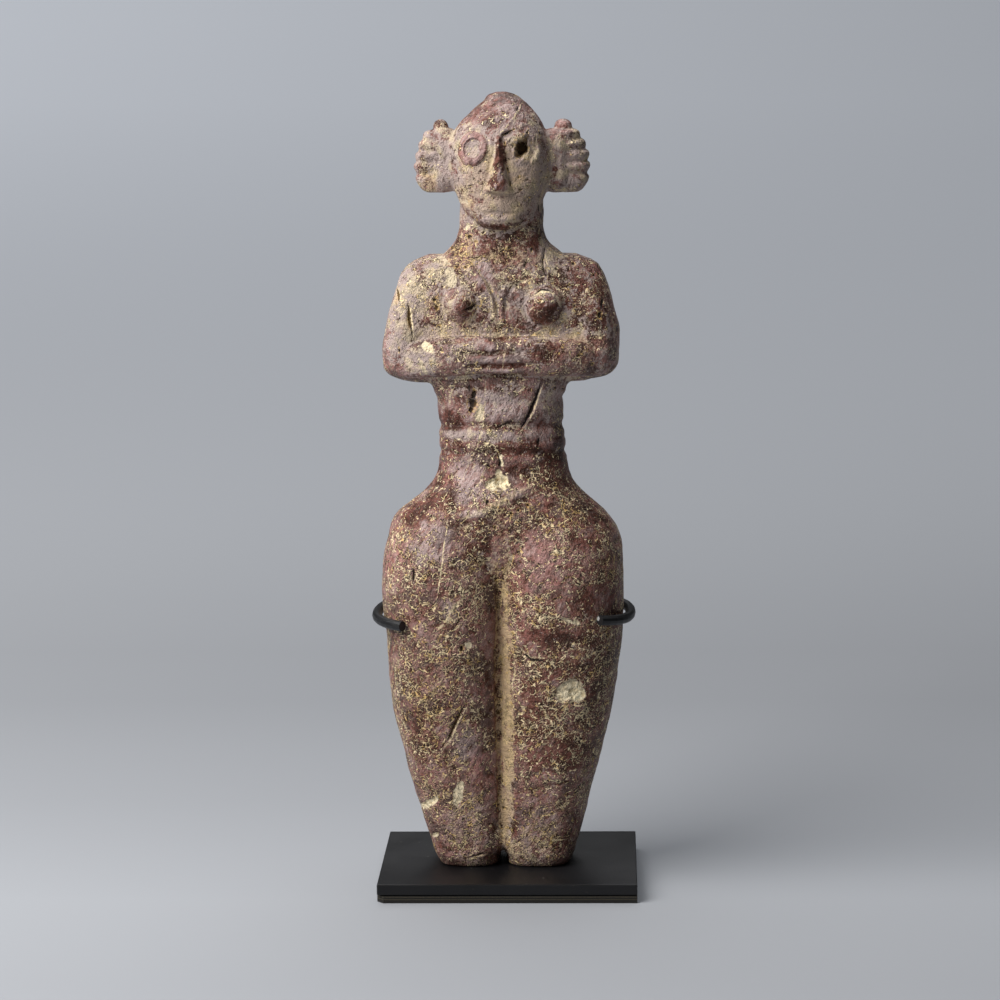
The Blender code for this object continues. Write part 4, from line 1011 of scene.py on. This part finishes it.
class Paint:
    """Short ways to put shader nodes together for one material. Sizes are in millimetres."""

    def __init__(self, name):
        self.material = bpy.data.materials.new(name)
        self.material.use_nodes = True
        self.tree = self.material.node_tree
        self.place = self.node("ShaderNodeTexCoord", "Object", {})

    def node(self, kind, output, inputs, **settings):
        """One output of a new node."""
        node = self.tree.nodes.new(kind)
        for key, value in settings.items():
            setattr(node, key, value)
        for key, value in inputs.items():
            self.feed(node.inputs[key], value)
        return Value(self, node.outputs[output])

    def feed(self, socket, value):
        if isinstance(value, Value):
            self.tree.links.new(value.socket, socket)
        else:
            socket.default_value = value

    def math(self, operation, first, second=0.0):
        return self.node("ShaderNodeMath", 0, {0: first, 1: second}, operation=operation)

    def vector_math(self, operation, first, second, output=0):
        return self.node("ShaderNodeVectorMath", output, {0: first, 1: second}, operation=operation)

    def ease(self, low, high, value):
        inputs = {"Value": value, "From Min": low, "From Max": high}
        return self.node("ShaderNodeMapRange", "Result", inputs, interpolation_type="SMOOTHSTEP")

    def most(self, first, second):
        return self.math("MAXIMUM", first, second)

    def least(self, first, second):
        return self.math("MINIMUM", first, second)

    def noise(self, size, detail=2, roughness=0.5, place=None, output="Fac"):
        """Noise whose lumps are about one size across."""
        inputs = {"Vector": place or self.place, "Scale": 1 / (size * MM)}
        inputs.update({"Detail": detail, "Roughness": roughness})
        return self.node("ShaderNodeTexNoise", output, inputs)

    def cells(self, size, place=None, feature="F1"):
        inputs = {"Vector": place or self.place, "Scale": 1 / (size * MM)}
        return self.node("ShaderNodeTexVoronoi", "Distance", inputs, feature=feature)

    def shaken(self, size, amount):
        """The surface's place moved about by noise."""
        centred = self.vector_math("SUBTRACT", self.noise(size, output="Color"), (0.5, 0.5, 0.5))
        moved = self.vector_math("MULTIPLY", centred, (2 * amount * MM,) * 3)
        return self.vector_math("ADD", self.place, moved)

    def stretched(self, degrees, factors):
        """The surface's place drawn out by some factors along axes that lean clockwise, for streaks."""
        inputs = {"Vector": self.place, "Rotation": (0, math.radians(degrees), 0), "Scale": factors}
        return self.node("ShaderNodeMapping", 0, inputs, vector_type="TEXTURE")

    def part(self, place, axis):
        return self.node("ShaderNodeSeparateXYZ", axis, {0: place})

    def mix(self, share, first, second):
        return self.node("ShaderNodeMix", 2, {0: share, 6: first, 7: second}, data_type="RGBA")

    def attribute(self, name):
        return self.node("ShaderNodeAttribute", "Fac", {}, attribute_name=name)

    def bump(self, height, distance, strength):
        inputs = {"Height": height, "Distance": distance * MM, "Strength": strength}
        return self.node("ShaderNodeBump", "Normal", inputs)

    def finish(self, base, roughness, normal, specular=0.5):
        """The material, with these on its shader."""
        inputs = self.tree.nodes["Principled BSDF"].inputs
        names = ("Base Color", "Roughness", "Normal", "Specular IOR Level")
        for name, value in zip(names, (base, roughness, normal, specular)):
            self.feed(inputs[name], value)
        return self.material


MAUVE = colour(143, 93, 82)
MAROON = colour(92, 50, 38)
DARK = colour(40, 24, 12)
LAVENDER = colour(192, 170, 166)
ROSY = colour(178, 120, 112)
FILM = colour(206, 189, 162)
DUSTY_ROSE = colour(182, 164, 157)
CREAM = colour(255, 234, 190)
OCHRE = colour(226, 190, 124)
WHITE = colour(252, 238, 202)
GRAINS = colour(214, 182, 146)
EARTH = colour(110, 82, 40)
SHADOW = colour(30, 20, 15)
RUBBED_BLACK = colour(20, 20, 22)
DUST = colour(120, 114, 106)
LIGHT_SPECK = colour(150, 146, 140)
BARE_METAL_GLINT = colour(150, 150, 148)
# The bare metal on the right prong's cut end, painted light grey as its glint as well
BARE_GLINT_TIP = (29.3 * MM, -21.1 * MM, 87.3 * MM)
BARE_GLINT_REACH = 0.85 * MM
BARE_GLINT_CORE = 0.6 * MM
# Pale layers in the pad, in millimetres: their middles, half thickness and soft edge
PAD_LINES = (1.2, 1.95)
PAD_LINE_HALF = 0.2
PAD_LINE_EDGE = 0.15


def trails(paint, size, width, place):
    """Short curling lines along the edges of cells, and dark bands beside them, painted as the lines' small
    shadows and the pits along them.
    """
    reach = width / size
    edge = paint.cells(size, place, "DISTANCE_TO_EDGE")
    uneven = 0.7 * reach * paint.ease(0.3, 0.65, paint.noise(1, 1)) + 0.25 * reach
    beside = paint.math("ABSOLUTE", edge - 1.3 * reach)
    return paint.ease(uneven, 0.5 * uneven, edge), paint.ease(0.8 * uneven, 0.3 * uneven, beside)


def stone_material():
    """Mottled stone under film and crust, laid on by the shares that mark_mesh wrote on the mesh."""
    paint = Paint("mottled stone")
    names = ("worn_and_glints", "rosy", "maroon_and_shade", "film", "specks", "ochre", "chip", "hollow", "valley", "pit")
    worn_and_glints, rosy, maroon_and_shade, film, density, ochre, chip, hollow, valley, pit = map(paint.attribute, names)

    # The stone itself, from dark red-brown to lavender grey
    broad = paint.noise(7, 3)
    medium = paint.noise(2.4, 3, 0.6)
    grain = paint.noise(0.75, 2, 0.65)
    salt = paint.noise(0.4, 1.5, 0.6)
    streaks = paint.noise(1.3, 3, 0.65, paint.stretched(32, (1, 1, 3.2)))
    tone = medium + 1.3 * (broad - 0.5)
    base = paint.mix(paint.ease(0.36, 0.62, tone), MAROON, MAUVE)
    base = paint.mix(0.7 * maroon_and_shade, base, MAROON)
    base = paint.mix(0.5 * paint.ease(0.54, 0.4, grain), base, DARK)
    base = paint.mix(0.5 * paint.ease(0.5, 0.3, tone), base, DARK)
    base = paint.mix(0.85 * rosy * paint.ease(0.4, 0.6, streaks), base, ROSY)
    # Lavender wear on high places, and painted glints where the patches put them
    wear = (worn_and_glints + 0.5 * paint.ease(0.5, 0.72, broad)) * paint.ease(0.3, 0.6, streaks)
    wear = 0.9 * wear + 0.14 * paint.ease(0.48, 0.28, hollow)
    wear = paint.least(wear, 0.92) - 0.35 * maroon_and_shade
    base = paint.mix(paint.most(wear, 0), base, LAVENDER)

    # Dusty film, thicker in hollows
    film = film + 0.25 * paint.ease(0.55, 0.8, valley) + 0.2 * paint.ease(0.55, 0.8, hollow)
    film = film + 1.7 * (paint.noise(0.5, 2, 0.7) - 0.5)
    film = film + 1.4 * (paint.noise(1.2, 2, 0.6) - 0.5) + 1.7 * (paint.noise(3.2, 3, 0.6) - 0.5)
    film = 0.9 * paint.ease(0.34, 0.84, film)
    film_colour = paint.mix(paint.ease(0.45, 0.65, paint.noise(4, 2)), DUSTY_ROSE, FILM)
    base = paint.mix(film, base, paint.mix(0.5 * ochre, film_colour, OCHRE))

    # Cream specks like short worm trails, with dots and grains between
    long_lines, long_trail_shade = trails(paint, 1.9, 0.19, paint.shaken(0.9, 0.35))
    short_lines, short_trail_shade = trails(paint, 1.3, 0.16, paint.stretched(58, (1, 1, 2)))
    dot_place = paint.shaken(0.9, 0.25)
    amount = density + 2.7 * (paint.noise(8, 3, 0.6) - 0.5)
    limit = 0.295 + 0.195 * amount
    long_gate = paint.ease(-0.01, 0.02, limit - paint.noise(1.8, 1))
    short_gate = paint.ease(-0.01, 0.02, limit - paint.noise(1.5, 1))
    dot_gate = paint.ease(-0.02, 0.01, limit - paint.noise(2.4, 1))
    grain_gate = paint.ease(-0.08, 0, limit - paint.noise(1.1, 2))
    long_lines = long_lines * long_gate
    long_trail_shade = long_trail_shade * long_gate
    specks = paint.most(long_lines, short_lines * short_gate)
    specks = paint.most(specks, paint.ease(0.26, 0.18, paint.cells(0.85, dot_place)) * dot_gate)
    specks = paint.most(specks, 0.85 * paint.ease(0.33, 0.22, paint.cells(0.5)) * grain_gate)
    trail_shade = paint.most(long_trail_shade, short_trail_shade * short_gate) * (1 - 0.8 * film)
    crusted = paint.ease(0.15, 1.15, amount)
    base = paint.mix(0.56 * crusted * paint.ease(0.56, 0.64, salt), base, GRAINS)
    pepper = paint.ease(0.46, 0.38, salt) * (0.7 * crusted + 0.12) * (1 - 0.45 * film)
    # Dark grains, and the painted shade beside the trails
    base = paint.mix(paint.most(pepper, 0.85 * trail_shade), base, DARK)
    warmth = paint.ease(0.48, 0.68, paint.noise(2.2, 2)) + 0.6 * ochre
    faded = 0.56 + 0.4 * paint.ease(0.34, 0.56, paint.noise(1.3, 1))
    base = paint.mix(faded * specks, base, paint.mix(paint.least(warmth, 1), CREAM, OCHRE))

    # Chips, veins, pits and cracks
    chip_share = paint.ease(0.15, 0.4, chip + 1.5 * (paint.noise(1.2, 3, 0.6) - 0.5))
    chip_share = chip_share * paint.ease(0, 0.1, chip)
    chip_light = paint.mix(paint.ease(0.4, 0.62, paint.noise(1.1, 2)), WHITE, CREAM)
    base = paint.mix(chip_share, base, paint.mix(paint.ease(0.3, 1, chip), FILM, chip_light))
    wobble = 2.6 * (paint.noise(0.7, 2) - 0.5)
    vein = paint.ease(1.3, 0.6, paint.math("ABSOLUTE", paint.attribute("vein") + wobble))
    vein = vein * paint.attribute("vein_near") * paint.ease(0.34, 0.5, paint.noise(1.4))
    base = paint.mix(vein, base, CREAM)
    pit = pit + 0.35 * wobble
    rim = paint.ease(1.9, 1.2, pit) * paint.ease(0.46, 0.6, paint.noise(0.9))
    base = paint.mix(0.6 * rim, base, OCHRE)
    pores = paint.ease(0.105, 0.07, paint.cells(2.9, dot_place)) * paint.ease(0.54, 0.58, paint.noise(5, 1))
    crack = paint.ease(1.1, 0.75, paint.math("ABSOLUTE", paint.attribute("crack") + 0.7 * wobble))
    crack = crack * paint.ease(0.4, 0.6, paint.attribute("crack_near"))
    # Pits, pores and cracks are painted dark as the shade inside them, earthy brown where ochre fills them
    holes = paint.most(paint.ease(0.9, 0.62, pit), paint.most(pores, crack))
    base = paint.mix(0.94 * holes, base, paint.mix(0.8 * ochre, SHADOW, EARTH))

    # Relief finer than the mesh
    relief = medium + 0.6 * grain + 0.6 * streaks + 0.4 * salt + 0.9 * long_lines - 0.5 * long_trail_shade
    rough = 0.46 + 0.3 * film + 0.3 * (grain - 0.5) + 0.2 * specks - 0.1 * maroon_and_shade
    return paint.finish(base, rough, paint.bump(relief - 1.5 * holes, 0.95, 1), 0.28)


def black_paint(name, tone, sheen_low, sheen_high, bare=None):
    """Satin black paint with fine grain and settled dust, rubbed off round the bare place, which is painted
    light grey as bare metal with a painted glint.
    """
    paint = Paint(name)
    broad = paint.noise(14, 3)
    dust = 0.12 * paint.ease(0.62, 0.72, paint.noise(1.3, 4, 0.7))
    base = paint.mix(paint.ease(0.3, 0.7, broad), tone, RUBBED_BLACK)
    base = paint.mix(dust, base, DUST)
    specks = paint.ease(0.07, 0.04, paint.cells(5)) * paint.ease(0.55, 0.6, paint.noise(9, 1))
    base = paint.mix(0.5 * specks, base, LIGHT_SPECK)
    if bare:
        # The bare cut end is painted light grey: bare metal and a painted highlight in one
        away = paint.vector_math("DISTANCE", paint.shaken(0.6, 0.35), bare, "Value")
        base = paint.mix(paint.ease(BARE_GLINT_REACH, BARE_GLINT_CORE, away), base, BARE_METAL_GLINT)
    rough = sheen_low + (sheen_high - sheen_low) * broad + 0.8 * dust
    return paint.finish(base, rough, paint.bump(paint.noise(0.35, 3, 0.6), 0.05, 0.5), 0.36)


def pad_material():
    """Layered dark pad whose pale layers show as thin lines on its sides."""
    paint = Paint("layered pad")
    height = paint.part(paint.shaken(2, 0.12), "Z")
    lines = 0.0
    for middle in PAD_LINES:
        line = 1.0
        for side in (-1, 1):
            outer = (middle + side * PAD_LINE_HALF) * MM
            line = line * paint.ease(outer, outer - side * PAD_LINE_EDGE * MM, height)
        lines = paint.most(line, lines)
    fibre = paint.noise(0.4, 3, 0.7)
    base = paint.mix(paint.ease(0.35, 0.65, fibre), colour(13, 12, 11), colour(27, 24, 20))
    base = paint.mix(lines * paint.ease(0.3, 0.6, fibre), base, colour(70, 64, 48))
    return paint.finish(base, 0.8 + 0.15 * fibre, paint.bump(fibre, 0.2, 0.8))


def give(thing, material):
    thing.data.materials.clear()
    thing.data.materials.append(material)


# The camera, from where the stand's corners show in the picture
CAMERA_PLACE = (32.9 * MM, -931.4 * MM, 278.6 * MM)
CAMERA_YAW = math.radians(-2.074)
CAMERA_PITCH = math.radians(9.631)
CAMERA_ROLL = math.radians(-0.647)
CAMERA_LENS = 109.8
SENSOR = 36


def add_camera():
    data = bpy.data.cameras.new("camera")
    data.sensor_width = SENSOR
    data.lens = CAMERA_LENS
    data.clip_start = 0.01
    data.clip_end = 500
    camera = bpy.data.objects.new("camera", data)
    ahead = Vector((
        math.sin(CAMERA_YAW) * math.cos(CAMERA_PITCH),
        math.cos(CAMERA_YAW) * math.cos(CAMERA_PITCH),
        -math.sin(CAMERA_PITCH),
    ))
    level = Vector((math.cos(CAMERA_YAW), -math.sin(CAMERA_YAW), 0))
    above = level.cross(ahead)
    right = math.cos(CAMERA_ROLL) * level + math.sin(CAMERA_ROLL) * above
    up = -math.sin(CAMERA_ROLL) * level + math.cos(CAMERA_ROLL) * above
    place = Matrix((right, up, -ahead)).transposed().to_4x4()
    place.translation = CAMERA_PLACE
    camera.matrix_world = place
    bpy.context.scene.collection.objects.link(camera)
    bpy.context.scene.camera = camera


# A soft key light comes from the upper left front, a wide one from above
KEY_TURN = math.radians(-56)
KEY_RISE = math.radians(41)
KEY_DISTANCE = 1.1
KEY_SIZE = 0.85
KEY_ENERGY = 19.6
TOP_STRENGTH = 2.2
TOP_SOFTNESS = math.radians(75)
TOP_TURN = math.radians(-165)
TOP_RISE = math.radians(70)
TOP_DISTANCE = 2
KEY_COLOUR = (1, 0.975, 0.95)
TOP_COLOUR = (0.97, 0.98, 1)
ROOM_COLOUR = (0.9, 0.95, 1, 1)
ROOM_STRENGTH = 0.02
AIM = Vector((0, 0, 0.13))


def towards_light(turn, rise):
    """The direction to a light, turned from the front to the right and raised above the floor."""
    return Vector((math.sin(turn) * math.cos(rise), -math.cos(turn) * math.cos(rise), math.sin(rise)))


def place_light(data, direction, distance):
    lamp = bpy.data.objects.new(data.name, data)
    lamp.location = AIM + direction * distance
    lamp.rotation_euler = (-direction).to_track_quat("-Z", "Y").to_euler()
    bpy.context.scene.collection.objects.link(lamp)


def add_lights():
    key = bpy.data.lights.new("key light", "AREA")
    key.energy = KEY_ENERGY
    key.size = KEY_SIZE
    key.color = KEY_COLOUR
    place_light(key, towards_light(KEY_TURN, KEY_RISE), KEY_DISTANCE)
    top = bpy.data.lights.new("top light", "SUN")
    top.energy = TOP_STRENGTH
    top.angle = TOP_SOFTNESS
    top.color = TOP_COLOUR
    place_light(top, towards_light(TOP_TURN, TOP_RISE), TOP_DISTANCE)
    world = bpy.data.worlds.new("dim room")
    world.use_nodes = True
    world.node_tree.nodes["Background"].inputs[0].default_value = ROOM_COLOUR
    world.node_tree.nodes["Background"].inputs[1].default_value = ROOM_STRENGTH
    bpy.context.scene.world = world


# The paper's painted light and shade, standing in for the lights' falloff: brighter far back, darker in a
# band behind the stand like a backdrop's bend in shade; each: nearness to the camera, share of the paper's
# colour
PAPER_PAINTED_FALLOFF = (
    (0.012, 0.65), (0.038, 0.64), (0.070, 0.585), (0.103, 0.52), (0.136, 0.45), (0.170, 0.38),
    (0.204, 0.305), (0.221, 0.275), (0.238, 0.265), (0.255, 0.28), (0.273, 0.29), (0.290, 0.31),
    (0.308, 0.33), (0.338, 0.31),
)
PAPER_NEAREST = 0.36
# How fast the paper's painted shade darkens it to the right, far back and near the stand
SIDE_SHADE_FAR = 1.1
SIDE_SHADE_NEAR = 0.35
SIDE_SHADE_BETWEEN = 0.15
CAMERA_BACK = 0.931
CAMERA_HEIGHT = 0.2786
SHORTEST_DEPTH = 0.4
FLOOR_REACH = 150
PAPER_COLOUR = (0.93, 0.97, 1.04, 1)


def add_floor():
    """A sheet of grey paper that runs far back, so that it fills the picture, with light and shade painted on
    by its depth and by how far it lies to the right.
    """
    shape = bmesh.new()
    bmesh.ops.create_grid(shape, x_segments=8, y_segments=8, size=FLOOR_REACH)
    floor = object_from("floor", shape)
    paint = Paint("grey paper")
    # The paper's tone is painted light and shade, by its depth and by how far it lies to the right
    depth = paint.most(paint.part(paint.place, "Y") + CAMERA_BACK, SHORTEST_DEPTH)
    nearness = paint.math("DIVIDE", CAMERA_HEIGHT, depth)
    ramp = paint.node("ShaderNodeValToRGB", "Color", {0: nearness * (1 / PAPER_NEAREST)})
    stops = ramp.socket.node.color_ramp.elements
    while len(stops) < len(PAPER_PAINTED_FALLOFF):
        stops.new(0.5)
    for stop, (place, tone) in zip(stops, PAPER_PAINTED_FALLOFF):
        stop.position = place / PAPER_NEAREST
        stop.color = (tone, tone, tone, 1)
    lateral = paint.math("DIVIDE", paint.part(paint.place, "X"), depth)
    side_shade = SIDE_SHADE_FAR + (SIDE_SHADE_NEAR - SIDE_SHADE_FAR) * paint.ease(0, SIDE_SHADE_BETWEEN, nearness)
    base = paint.mix(ramp * (1 - lateral * side_shade), (0, 0, 0, 1), PAPER_COLOUR)
    floor.data.materials.append(paint.finish(base, 0.85, paint.bump(paint.noise(0.8), 0.02, 0.2), 0.2))


def main():
    bpy.context.scene.view_settings.view_transform = "Standard"
    add_camera()
    add_lights()
    add_floor()
    idol = build_idol()
    give(idol, stone_material())
    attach(idol, "root")
    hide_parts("idol")
    give(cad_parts["base_plate"], black_paint("satin black plate", colour(12, 12, 14), 0.32, 0.48))
    give(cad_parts["base_pad"], pad_material())
    give(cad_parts["cradle"], black_paint("black rod paint", colour(20, 20, 21), 0.34, 0.48, BARE_GLINT_TIP))


main()
